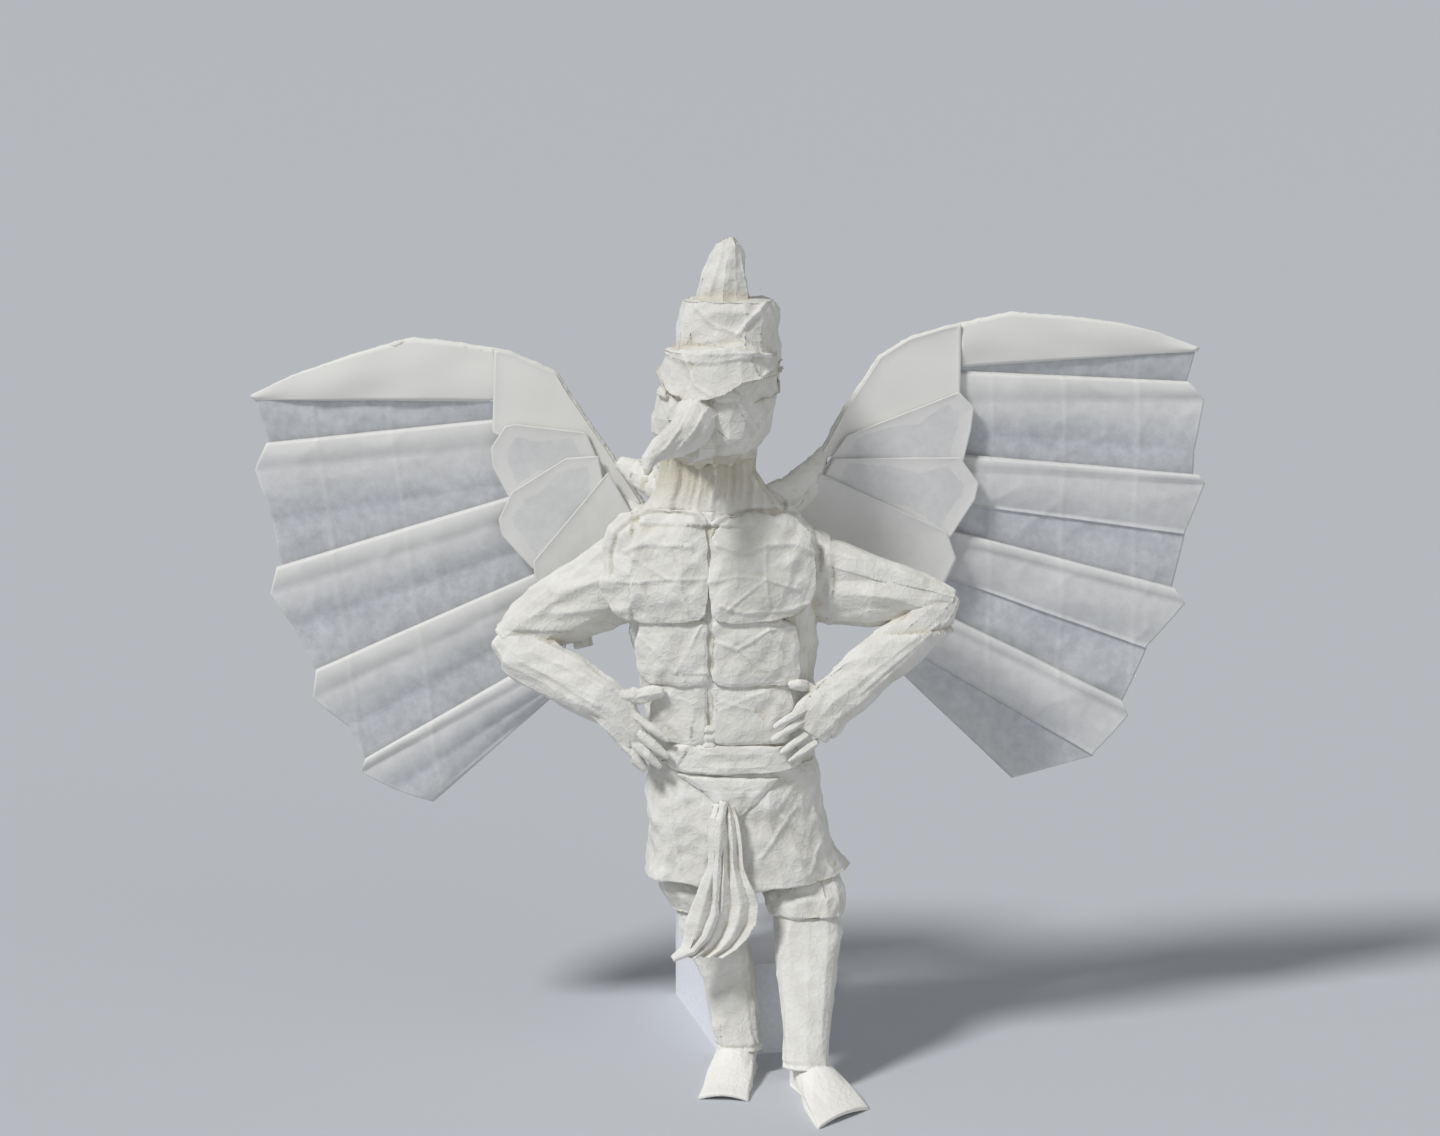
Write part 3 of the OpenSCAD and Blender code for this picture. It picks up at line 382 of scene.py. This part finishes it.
# %% The creases: height, half width, then the points of the line
CREASES = [
    (0.45, 0.48, [(-32, 137), (-24, 137), (-16, 138), (-6.5, 138)]),
    (0.38, 0.48, [(-17, 148), (-14, 141), (-11, 129)]),
    (0.38, 0.42, [(-24, 137), (-19, 127)]),
    (0.38, 0.48, [(-16, 138), (-23, 142), (-27, 145)]),
    (0.52, 0.54, [(-28, 145), (-23, 147), (-14, 147), (-10, 146.5)]),
    (0.52, 0.54, [(-3, 147), (4, 145), (10, 147), (18, 147), (24, 144)]),
    (0.45, 0.48, [(10, 147), (10, 139), (11, 130)]),
    (0.45, 0.48, [(-5, 137), (2.5, 139), (10, 138), (19, 135)]),
    (0.38, 0.42, [(10, 138), (0, 130)]),
    (0.45, 0.48, [(-2, 131), (4, 129), (15, 129), (22, 131)]),
    (0.38, 0.42, [(-24, 122), (-18, 117), (-14, 112.5)]),
    (0.38, 0.42, [(-7, 126), (-11, 118), (-14, 112.5)]),
    (0.45, 0.48, [(-4, 121), (2.5, 119), (11, 124), (18, 124.5)]),
    (0.38, 0.42, [(2.5, 119), (10, 113)]),
    (0.38, 0.42, [(11, 124), (15, 117)]),
    (0.3, 0.42, [(-2, 102), (5.5, 105.5), (13, 108)]),
    (0.3, 0.42, [(-2, 104.5), (7, 102)]),
    (0.3, 0.42, [(-17, 106), (-10, 104)]),
    (0.38, 0.48, [(-15.5, 78), (-15, 69), (-13, 58.5)]),
    (0.45, 0.48, [(18.5, 75), (9, 62)]),
    (0.45, 0.48, [(15, 72.5), (20.5, 67.5)]),
    (0.38, 0.48, [(25, 64), (22.5, 57)]),
    (0.38, 0.48, [(19, 82.5), (13.5, 75)]),
    (-1.2, 3, [(29, 136), (43, 136.5), (53, 133.5)]),
    (0.9, 2, [(29, 132.5), (43, 132), (53, 128.5)]),
    (0.6, 1.2, [(26, 143.5), (39, 141.5), (53, 136)]),
    (0.7, 1.2, [(-46, 132), (-33, 137)]),
    (0.6, 1.2, [(-46, 127), (-28, 129.5)]),
    (-0.8, 2.5, [(-47, 129.5), (-30, 133.5)]),
    (-0.9, 0.5, [
        (-31, 139), (-31.5, 144), (-29.5, 149.5), (-26, 153), (-21, 155), (-14, 155.3), (-9, 154.5), (-6, 152),
    ]),
    (-0.9, 0.5, [
        (-3, 152), (0.5, 154.3), (6, 155.5), (14, 155.5), (19.5, 153.8), (23, 150), (25, 144), (24.8, 139),
    ]),
    (0.45, 0.6, [(-56, 114), (-45, 109), (-35, 103.5)]),
    (0.45, 0.6, [(-53.5, 117), (-40, 112), (-31.6, 108)]),
    (0.45, 0.6, [(57, 124), (46.4, 115.6), (35.6, 106.6)]),
    (0.45, 0.6, [(53, 119.7), (41, 109), (30, 100)]),
    (0.8, 0.6, [(11, 213), (2.6, 204)]),
    (0.5, 0.5, [(-9, 211), (-4, 206), (2.6, 204), (8, 199)]),
    (0.4, 0.5, [(-2, 225), (-5, 214)]),
    (0.9, 0.8, [(-6, 199.5), (3.5, 200.5), (11, 198)]),
    (0.6, 0.5, [(-12, 198), (-9, 191), (-4, 188)]),
    (0.6, 0.5, [(5, 189), (12, 195)]),
    (0.5, 0.5, [(3, 186), (8, 178), (6, 171)]),
    (0.5, 0.5, [(8, 178), (13, 184)]),
    (0.4, 0.5, [(-3, 177), (4, 172)]),
    (0.4, 0.4, [(-9.7, 186), (-12.4, 181), (-16.4, 176)]),
    (0.4, 0.4, [(-6.5, 184), (-9, 179.5), (-14, 174.5)]),
]


def lift_along(line, flat, height, half_width):
    nearest = np.full(len(flat), np.inf)
    for a, b in zip(line[:-1], line[1:]):
        start = np.array(a, float)
        way = np.array(b, float) - start
        along = np.clip((flat - start) @ way / (way @ way), 0, 1)
        gap = np.hypot(*(flat - start - along[:, None] * way).T)
        nearest = np.minimum(nearest, gap)
    return height * np.clip(1 - nearest / (2 * half_width), 0, 1) ** 1.4


front = np.clip(-normals[:, 1] * 2, 0, 1)
for height, half_width, line in CREASES:
    depth += front * lift_along(line, points[:, [0, 2]], height, half_width)
print("creases pinched:", len(CREASES))

# %% [markdown]
# ## Painted shade in the hollows, lighter ridges
# A ridge of folded paper is painted lighter, as rubbed paper and as painted highlight, and a hollow is painted
# warmer and darker as painted shade. Both follow from the bend of the skin: where the neighbours of a point lie
# in front of it, it is in a hollow. The neck is also painted darker towards the chin, as painted shadow under
# it.
# The bend is smoothed over a few rings of neighbours and kept as two numbers on each point, for the paper's
# material to read.


# %% Crumple the skin and read its bend
def ring_mean(values, edges, count):
    total = np.zeros_like(values)
    np.add.at(total, edges[:, 0], values[edges[:, 1]])
    np.add.at(total, edges[:, 1], values[edges[:, 0]])
    return total / np.maximum(count, 1)[:, None]


def store(mesh, name, values):
    mesh.attributes.new(name, "FLOAT", "POINT").data.foreach_set("value", values.astype(np.float32))


edges = np.empty(len(body.edges) * 2, int)
body.edges.foreach_get("vertices", edges)
edges = edges.reshape(-1, 2)
count = np.bincount(edges.ravel(), minlength=len(points))
points = points + normals * depth[:, None]
body.vertices.foreach_set("co", (points * MM).ravel())
body.update()
normals = values_of(body, "normal")
SMOOTHED_RINGS = 6
around = points
for step in range(SMOOTHED_RINGS):
    around = ring_mean(around, edges, count)
bend = np.sum((around - points) * normals, axis=1)
# painted shade in the hollows of the skin, by how deep each hollow is
hollow_shade = np.clip(bend / 0.4, 0, 1) * 0.7
# painted shadow under the chin: the neck grows darker towards it
hollow_shade = np.maximum(hollow_shade, on_neck * np.clip((points[:, 2] - 154) / 12, 0, 0.9))
store(body, "hollow_shade", hollow_shade)
# ridges painted lighter, as rubbed paper and as painted highlight; below 8 mm the paper is made lighter still
rubbed_and_highlit = np.clip(-bend / 0.5 - 0.15, 0, 1) * 0.6
rubbed_and_highlit[points[:, 2] < 8] = 0.9
store(body, "rubbed_and_highlit", rubbed_and_highlit)
facing = body.attributes.new("facing", "FLOAT_VECTOR", "POINT")
facing.data.foreach_set("vector", normals.astype(np.float32).ravel())
print("bend, mm:", np.round(np.percentile(bend, [1, 50, 99]), 2))


# %% [markdown]
# ## Five pieces of one skin
# The skin is too fine for one piece, so it is parted at the collar, the ribs, the belt and the knees. The parts
# keep the directions that the whole skin had, so that no seam shows in the light.


# %% Part the skin
def paper_piece(name, mesh, material, node):
    mesh.materials.clear()
    mesh.materials.append(material)
    mesh.polygons.foreach_set("use_smooth", np.ones(len(mesh.polygons), bool))
    piece = bpy.data.objects.new(name, mesh)
    bpy.context.collection.objects.link(piece)
    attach(piece, "root")
    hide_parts(node)
    return piece


def body_part(name, low, high):
    work = bmesh.new()
    work.from_mesh(body)
    others = [f for f in work.faces if not low < f.calc_center_median().z / MM <= high]
    bmesh.ops.delete(work, geom=others, context="FACES")
    part = bpy.data.meshes.new(name)
    work.to_mesh(part)
    work.free()
    facing = np.empty(len(part.vertices) * 3, np.float32)
    part.attributes["facing"].data.foreach_get("vector", facing)
    piece = paper_piece(name, part, body_paper, "folded_figure")
    part.normals_split_custom_set_from_vertices(facing.reshape(-1, 3).tolist())
    return piece


CUTS = [-10, 44.6, 84.6, 118, 152, 240]
PARTS = ["legs_and_feet", "skirt_and_sash", "belly_and_forearms", "chest_and_upper_arms", "head_and_neck"]
for name, low, high in zip(PARTS, CUTS[:-1], CUTS[1:]):
    piece = body_part(name, low, high)
    print(piece.name, "triangles:", len(piece.data.polygons))

# %% [markdown]
# ## Thin paper of the wings
# In the wings the same tissue is one to three layers thick. A single layer is translucent and cloudy, and the
# grey of a dark ground seen through it is painted into its colour as painted shade; three layers are white.
# How many layers lie on a spot is kept as a number on each point of the sheet, 0 for a single layer and 1 for a
# pleat's full overlap, and painted highlights along ridges, creases and the outer edge are added to it.


# %% Translucent mulberry tissue
def wing_tissue():
    material, tree = new_material("mulberry_tissue")
    place = add_node(tree, "ShaderNodeTexCoord").outputs["Object"]
    cloud_mm = 3.5
    clouds = add_node(
        tree,
        "ShaderNodeTexNoise",
        {"Vector": place, "Scale": 1 / (cloud_mm * MM), "Detail": 6.0, "Roughness": 0.72},
    )
    # painted shade: a single layer is coloured grey for the dark that shows through it; its clouds are the
    # paper's own
    single = add_node(tree, "ShaderNodeValToRGB", {"Fac": clouds.outputs["Fac"]})
    single.color_ramp.elements[0].position = 0.36
    single.color_ramp.elements[0].color = to_linear("#bcbec2")
    single.color_ramp.elements[1].position = 0.66
    single.color_ramp.elements[1].color = to_linear("#d2d4d8")
    # the layer count, with painted highlights along ridges, creases and the outer edge, chooses between grey
    # and white
    layers = add_node(tree, "ShaderNodeAttribute", attribute_name="layers").outputs["Fac"]
    tone = add_node(
        tree,
        "ShaderNodeMix",
        {"Factor": layers, "A": single.outputs["Color"], "B": to_linear("#e9e8e3")},
        data_type="RGBA",
    )
    fibre_mm = 0.6
    fibres = add_node(
        tree,
        "ShaderNodeTexNoise",
        {"Vector": place, "Scale": 1 / (fibre_mm * MM), "Detail": 3.0, "Distortion": 2.0},
    )
    bump = add_node(
        tree,
        "ShaderNodeBump",
        {"Strength": 0.15, "Distance": 0.1 * MM, "Height": fibres.outputs["Fac"]},
    )
    shader = add_node(
        tree,
        "ShaderNodeBsdfPrincipled",
        {
            "Base Color": tone.outputs["Result"],
            "Roughness": 0.7,
            "IOR": 1.47,
            "Specular IOR Level": 0.35,
            "Normal": bump.outputs["Normal"],
        },
    )
    add_node(tree, "ShaderNodeOutputMaterial", {"Surface": shader.outputs["BSDF"]})
    return material


tissue = wing_tissue()

# %% [markdown]
# ## Wing sheets
# A wing is drawn in its own plane: the way out from the figure's middle and the way up from the wing's root,
# in millimetres. The plane stands behind the shoulders and sweeps back a little towards the tip. A sheet is a
# grid of such points with a depth, and a solidify modifier gives it the thickness of paper.

# %% From the wing's plane to the figure
WING_Y = 17.1
WING_SWEEP = 6 / 105
WING_ROOT_Z = 161
PAPER = 0.22


def on_wing(side, out, up, deep):
    out = np.asarray(out, float)
    y = WING_Y + WING_SWEEP * (out - 25) + deep
    return np.stack([side * out, y, WING_ROOT_Z + np.asarray(up, float)], axis=-1)


def grid_faces(rows, cols, flip, closed=False):
    wide = cols if closed else cols - 1
    faces = []
    for r in range(rows - 1):
        for c in range(wide):
            a = r * cols + c
            b = r * cols + (c + 1) % cols
            quad = (a, b, b + cols, a + cols)
            faces.append(quad[::-1] if flip else quad)
    return faces


def paper_sheet(name, grid, layers, side, thickness=PAPER):
    rows, cols = grid.shape[:2]
    mesh = bpy.data.meshes.new(name)
    mesh.from_pydata((grid.reshape(-1, 3) * MM).tolist(), [], grid_faces(rows, cols, side > 0))
    store(mesh, "layers", np.clip(np.asarray(layers, float).ravel(), 0, 1))
    piece = paper_piece(name, mesh, tissue, "folded_figure")
    thick = piece.modifiers.new("paper_thickness", "SOLIDIFY")
    thick.thickness = thickness * MM
    thick.offset = 0.0
    return piece


# %% [markdown]
# ## Feathers
# The feathers are one sheet in knife pleats. From the leading band the paper runs down behind the first
# ridge, comes up again to that ridge, folds over it, and runs down in front to the valley and on behind the
# next ridge. Each fold is a straight line from its inner end to its outer end, so the sheet is ruled between
# lines, and the outer ends give the wing's toothed edge by themselves.

# %% Fold lines of both wings: inner out and up, outer out and up
PLEAT = 3.0
TUCK = 6.0
WINGS = {
    "right": {
        "side": 1,
        "band": (60, 31, 129, 34),
        "ridges": [
            (52, 29.5, 127.6, 25.5), (50, 7, 131, -0.5), (45, -11, 125, -32.5), (48, -33, 110.8, -64.5),
        ],
        "tips": [(58, 20, 132, 20.5), (54, 2, 132.8, -3), (50, -16, 128, -37), (50, -38, 112.7, -69)],
        "valleys": [
            (56, 12, 129.6, 6), (50, -6, 127.6, -17), (48, -24, 117.6, -49.4), (46, -46, 103, -80),
        ],
        "low": (40, -48, 80.2, -87),
        "white_to": [1, 2, 2, 2],
        "creases": [73, 93.2, 113.7],
        "lean": 0.0,
    },
    "left": {
        "side": -1,
        "band": (58, 21, 131, 21),
        "ridges": [
            (50, 17, 128, 8.5), (46, -1.5, 126, -26.5), (40, -21.5, 115.5, -55.5), (46, -48, 102, -81),
        ],
        "tips": [(52, 9, 131.5, 1), (48, -9, 128, -34), (43, -29, 116.7, -64), (48, -54, 103.6, -85)],
        "valleys": [
            (50, -1, 127, -13.5), (45, -17, 121.5, -44), (44, -38, 106.6, -72.4), (46, -58, 94, -90.2),
        ],
        "low": (40, -55, 83.3, -94),
        "white_to": [1, 1, 1, 1],
        "creases": [91.5, 112.6],
        "lean": 0.12,
    },
}
COLUMNS = 130


def fold_lines(wing):
    near = -PLEAT / 2
    far = PLEAT / 2
    # the third number is the tone: the layers of paper, and on each ridge a painted highlight
    lines = [(wing["band"], near, 0.1)]
    for i, (ridge, tip, valley) in enumerate(zip(wing["ridges"], wing["tips"], wing["valleys"])):
        tuck = (ridge[0], ridge[1] - TUCK, ridge[2] - 1.5, ridge[3] - 0.8 * TUCK)
        white = wing["white_to"][i] == 2
        lines.append((tuck, far, 0.1))
        lines.append((ridge, near, 0.7 if white else 0.85))
        lines.append((tip, near + 0.4, 0.45 if white else 0.55))
        lines.append((valley, 0.0, 0.35 if white else 0.0))
        if white:
            lines.append((tuple(np.array(valley) - [0, 0.5, 0, 0.5]), 0.1, 0.0))
    lines.append((wing["low"], far, 0.35))
    return lines


def feathers(name, wing):
    t = np.linspace(0, 1, COLUMNS)
    rows = []
    tones = []
    lines = fold_lines(wing)
    for (a, deep_a, tone_a), (b, deep_b, tone_b) in zip(lines[:-1], lines[1:]):
        span = math.hypot(a[2] - b[2], a[3] - b[3])
        steps = max(3, round(span / 1.2))
        for k in range(steps):
            s = k / steps
            line = np.array(a) * (1 - s) + np.array(b) * s
            out = line[0] + (line[2] - line[0]) * t
            up = line[1] + (line[3] - line[1]) * t
            deep = deep_a * (1 - s) + deep_b * s - 0.5 * math.sin(math.pi * s) + 0.6 * np.sin(math.pi * t)
            rows.append(np.stack([out, up, deep], axis=-1))
            tones.append(np.full(COLUMNS, tone_a * (1 - s) + tone_b * s))
    last, deep_last, tone_last = lines[-1]
    out = last[0] + (last[2] - last[0]) * t
    up = last[1] + (last[3] - last[1]) * t
    rows.append(np.stack([out, up, np.full(COLUMNS, deep_last)], axis=-1))
    tones.append(np.full(COLUMNS, tone_last))
    plane = np.array(rows)
    tones = np.array(tones)
    flat = plane.reshape(-1, 3)
    waves = np.array([noise.noise(Vector((p[0] / 22, p[1] / 15, 4.0 * wing["side"]))) for p in flat])
    level = np.full(len(flat), 5.5)
    crumple = ridges(np.stack([flat[:, 0], flat[:, 1] * 1.6, level], axis=-1), 17, 2.2)
    bent = (0.8 * waves - 0.22 * crumple).reshape(tones.shape)
    for place in wing["creases"]:
        gap = plane[..., 0] - place - wing["lean"] * plane[..., 1] - 0.3 * np.sin(plane[..., 1] / 7)
        bent -= 0.2 * np.exp(-((gap / 0.6) ** 2))
        # painted highlight along each crease
        tones += 0.12 * np.exp(-((gap / 0.8) ** 2))
    # painted highlight along the wing's outer edge
    edge = np.clip(1 - (1 - t[None, :]) / 0.012, 0, 1)
    tones = tones + 0.4 * edge
    grid = on_wing(wing["side"], plane[..., 0], plane[..., 1], plane[..., 2] + bent)
    return paper_sheet(name, grid, tones, wing["side"])


for key, wing in WINGS.items():
    piece = feathers(key + "_wing_feathers", wing)
    print(piece.name, "faces:", len(piece.data.polygons))

# %% [markdown]
# ## Leading edge and coverts
# Along its front a wing is folded into a white band with a rolled rim. From the root to the wrist the rim is
# thickest. Over the inner ends of the feathers lie the coverts: flat leaves that overlap like tiles, each with
# a doubled, whiter border. A leaf is drawn as rings that shrink from its outline to its middle.

# %% Outlines in the wing's plane
EDGES = {
    "right": [
        (23.6, 3.5), (27.4, 9), (32, 18), (38.4, 27.6), (42, 33.2), (50.2, 38.2), (59.5, 41), (64, 42),
        (77.4, 45), (95.4, 43.6), (108.7, 41.8), (118, 39.5), (130, 35),
    ],
    "left": [
        (24, -7.5), (34, 8), (44.2, 23), (47.5, 28.8), (60, 34.2), (64.2, 35),
        (77, 37), (87, 38), (102.5, 33.6), (120.5, 27.4), (132, 21.8),
    ],
}
WRISTS = {"right": 7, "left": 5}
UNDER = {"right": (64, 30, 128, 34), "left": (62, 20.5, 131, 20.5)}
COVERTS = {
    "right": [
        [
            (23.6, 3.5), (27.4, 9), (32, 18), (38.4, 27.6), (42, 33.2), (50.2, 38.2), (59.5, 41), (64, 42),
            (64, 18), (29, 6),
        ],
        [(32.6, 11.5), (63.6, 23.4), (67.8, 19), (67, 12.6), (64.3, 1), (26, 2)],
        [(29, 5.3), (64, 5.3), (69.4, -2), (68.4, -6.5), (61, -18), (25, -2)],
        [(25.4, 1.3), (60.6, -15.3), (63.3, -23), (60.3, -29.5), (44, -32), (26, -18), (18, -15), (16, -6)],
    ],
    "left": [
        [
            (24, -7.5), (34, 8), (44.2, 23), (47.5, 28.8), (60, 34.2), (64.2, 35),
            (65, 12), (58, 9), (40, 6), (28, -8),
        ],
        [(39, 12.3), (58.6, 14.5), (61.4, 14), (65.4, 7.8), (65, 2.5), (60.5, -6), (44.5, 0), (33, -2)],
        [(35.6, 6), (44.5, 5.3), (59.7, -4.3), (63.4, -12), (62.6, -16.4), (54, -26), (33, -8)],
        [(33, 1.6), (54, -23.8), (53.4, -29), (47, -36), (36, -30), (24, -14)],
    ],
}


# %% Even points along a broken line
def spaced(line, step, closed=False):
    ring = list(line) + ([line[0]] if closed else [])
    ring = np.array(ring, float)
    lengths = np.linalg.norm(np.diff(ring, axis=0), axis=1)
    reach = np.concatenate([[0], np.cumsum(lengths)])
    number = max(2, round(reach[-1] / step))
    at = np.linspace(0, reach[-1], number + 1)
    if closed:
        at = at[:-1]
    return np.stack([np.interp(at, reach, ring[:, k]) for k in range(ring.shape[1])], axis=-1)


# %% White band along the leading edge
def leading_band(key):
    side = WINGS[key]["side"]
    top = spaced(EDGES[key][WRISTS[key] :], 0.8)
    t = np.linspace(0, 1, len(top))
    line = UNDER[key]
    low = np.stack([line[0] + (line[2] - line[0]) * t, line[1] + (line[3] - line[1]) * t], axis=-1)
    rows = 14
    grid = []
    for r in range(rows):
        s = r / (rows - 1)
        mid = top * (1 - s) + low * s
        swell = -0.5 * math.sin(math.pi * s) - PLEAT / 2 - 0.5 + 0.3 * s
        soft = np.array([0.5 * noise.noise(Vector((p[0] / 14, p[1] / 9, 9.0))) for p in mid])
        grid.append(on_wing(side, mid[:, 0], mid[:, 1], swell + soft))
    grid = np.array(grid)
    return paper_sheet(key + "_wing_band", grid, np.full(grid.shape[:2], 1.0), side, 0.5)


for key in WINGS:
    leading_band(key)


# %% Tubes of rolled paper, crumpled a little
def rolled_paper(name, path, radii, around=14, squeeze=0.8):
    path = np.array(path, float)
    radii = np.array(radii, float)
    tangents = np.gradient(path, axis=0)
    tangents /= np.linalg.norm(tangents, axis=1)[:, None]
    side = np.cross(tangents, [0.0, 1.0, 0.0])
    side /= np.linalg.norm(side, axis=1)[:, None]
    other = np.cross(tangents, side)
    turn = np.linspace(0, 2 * math.pi, around, endpoint=False)
    rings = []
    for p, r, a, b in zip(path, radii, side, other):
        rings.append(p + r * (np.cos(turn)[:, None] * a + squeeze * np.sin(turn)[:, None] * b))
    grid = np.array(rings)
    flat = grid.reshape(-1, 3)
    out = (grid - path[:, None, :]).reshape(-1, 3)
    out /= np.maximum(np.linalg.norm(out, axis=1), 1e-6)[:, None]
    lift = 0.35 * ridges(flat, 3.5, 8.8) + 0.2 * ridges(flat, 1.6, 4.4) - 0.2
    reach = 0.6 * np.repeat(np.minimum(radii, 1.5), around)
    flat = flat + out * (lift * reach)[:, None]
    near_end = tuple(range(around - 1, -1, -1))
    far_end = tuple(range((len(path) - 1) * around, len(path) * around))
    faces = grid_faces(len(path), around, False, closed=True) + [near_end, far_end]
    mesh = bpy.data.meshes.new(name)
    mesh.from_pydata((flat * MM).tolist(), [], faces)
    # the rolls get no painted shade and an even light tone, as rubbed paper and as painted highlight
    store(mesh, "hollow_shade", np.zeros(len(mesh.vertices)))
    store(mesh, "rubbed_and_highlit", np.full(len(mesh.vertices), 0.3))
    return paper_piece(name, mesh, body_paper, "folded_figure")


for key, wing in WINGS.items():
    line = spaced(EDGES[key], 0.8)
    along = np.linspace(0, 1, len(line))
    path = on_wing(wing["side"], line[:, 0], line[:, 1] - 0.6, -PLEAT / 2)
    rolled_paper(key + "_wing_rim", path, 1.3 * (1 - 0.55 * along))

# %% Coverts
LEAF_RINGS = 26
BORDER = 4.2


def covert(name, key, outline, layer):
    side = WINGS[key]["side"]
    rim = spaced(outline, 0.8, closed=True)
    middle = np.mean(outline, axis=0)
    lie = -PLEAT / 2 - 1 - 0.8 * layer
    rings = []
    tones = []
    for r in range(LEAF_RINGS):
        s = 1 - r / LEAF_RINGS
        ring = middle + (rim - middle) * s
        gap = np.hypot(*(rim - ring).T)
        soft = np.array([0.6 * noise.noise(Vector((p[0] / 16, p[1] / 16, 3.0 + layer))) for p in ring])
        curl = -0.35 * np.exp(-gap / 1.5)
        rings.append(on_wing(side, ring[:, 0], ring[:, 1], lie + soft + curl))
        if layer in (1, 2):
            tones.append(np.where(gap < BORDER, 0.8, 0.5))
        else:
            tones.append(np.full(len(rim), 1.0 if layer == 0 else 0.75))
    grid = np.array(rings)
    count = len(rim)
    mesh = bpy.data.meshes.new(name)
    faces = grid_faces(LEAF_RINGS, count, False, closed=True)
    last = (LEAF_RINGS - 1) * count
    faces.append(tuple(range(last, last + count)))
    mesh.from_pydata((grid.reshape(-1, 3) * MM).tolist(), [], faces)
    store(mesh, "layers", np.array(tones).ravel())
    work = bmesh.new()
    work.from_mesh(mesh)
    bmesh.ops.recalc_face_normals(work, faces=work.faces)
    work.to_mesh(mesh)
    work.free()
    piece = paper_piece(name, mesh, tissue, "folded_figure")
    thick = piece.modifiers.new("paper_thickness", "SOLIDIFY")
    thick.thickness = 0.35 * MM
    thick.offset = 0.0
    return piece


for key in WINGS:
    for layer, outline in enumerate(COVERTS[key]):
        covert(f"{key}_covert_{layer + 1}", key, outline, layer)
print("coverts:", sum(len(c) for c in COVERTS.values()))

# %% [markdown]
# ## Rolled roots
# The paper of each wing is gathered into rolls that run from the back, beside the neck, out to the wing.

# %% Rolls between the back and the wings
ROOTS = {
    "right_root": [
        ((5, -1, 145), 6), ((12, 6, 151), 5), ((19, 12, 156), 4),
        ((26, 15.6, 160), 3.6), ((33, 16.6, 165), 2.2),
    ],
    "left_root": [
        ((-11, -1, 145), 6), ((-16, 6, 151), 5), ((-21, 12, 147), 4),
        ((-26, 15.6, 151), 3.6), ((-33, 16.6, 156), 2.2),
    ],
    "right_gather": [
        ((9, 0, 156), 3.8), ((17, 7, 158.4), 3.8), ((23.6, 14, 163.6), 3.2), ((27, 16, 168.5), 1.4),
    ],
    "left_gather": [((-13, 0, 157), 4), ((-19, 6, 160.2), 4.6), ((-25, 12, 162.6), 4), ((-30, 15, 165), 1.8)],
}
for name, stations in ROOTS.items():
    line = spaced([(*place, radius) for place, radius in stations], 0.8)
    rolled_paper(name, line[:, :3], line[:, 3], around=28)

# %% [markdown]
# ## Support block
# The block behind the legs is folded from white card. Its CAD solid has the right shape, so it stays. A small
# bevel gives it the soft edges of scored card, and its material is a bluish white with a faint grain.


# %% White card
def white_card():
    material, tree = new_material("scored_white_card")
    place = add_node(tree, "ShaderNodeTexCoord").outputs["Object"]
    grain_mm = 1.2
    grain = add_node(
        tree, "ShaderNodeTexNoise", {"Vector": place, "Scale": 1 / (grain_mm * MM), "Detail": 4.0}
    )
    shade = add_node(tree, "ShaderNodeValToRGB", {"Fac": grain.outputs["Fac"]})
    shade.color_ramp.elements[0].position = 0.3
    shade.color_ramp.elements[0].color = to_linear("#e2e5ec")
    shade.color_ramp.elements[1].position = 0.7
    shade.color_ramp.elements[1].color = to_linear("#eef0f5")
    bump = add_node(
        tree, "ShaderNodeBump", {"Strength": 0.1, "Distance": 0.05 * MM, "Height": grain.outputs["Fac"]}
    )
    shader = add_node(
        tree,
        "ShaderNodeBsdfPrincipled",
        {"Base Color": shade.outputs["Color"], "Roughness": 0.6, "IOR": 1.5, "Normal": bump.outputs["Normal"]},
    )
    add_node(tree, "ShaderNodeOutputMaterial", {"Surface": shader.outputs["BSDF"]})
    return material


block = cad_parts["support_block"]
block.data.materials.clear()
block.data.materials.append(white_card())
soft_edge = block.modifiers.new("scored_edges", "BEVEL")
soft_edge.width = 0.5 * MM
soft_edge.segments = 3
soft_edge.limit_method = "ANGLE"
print("block faces:", len(block.data.polygons))
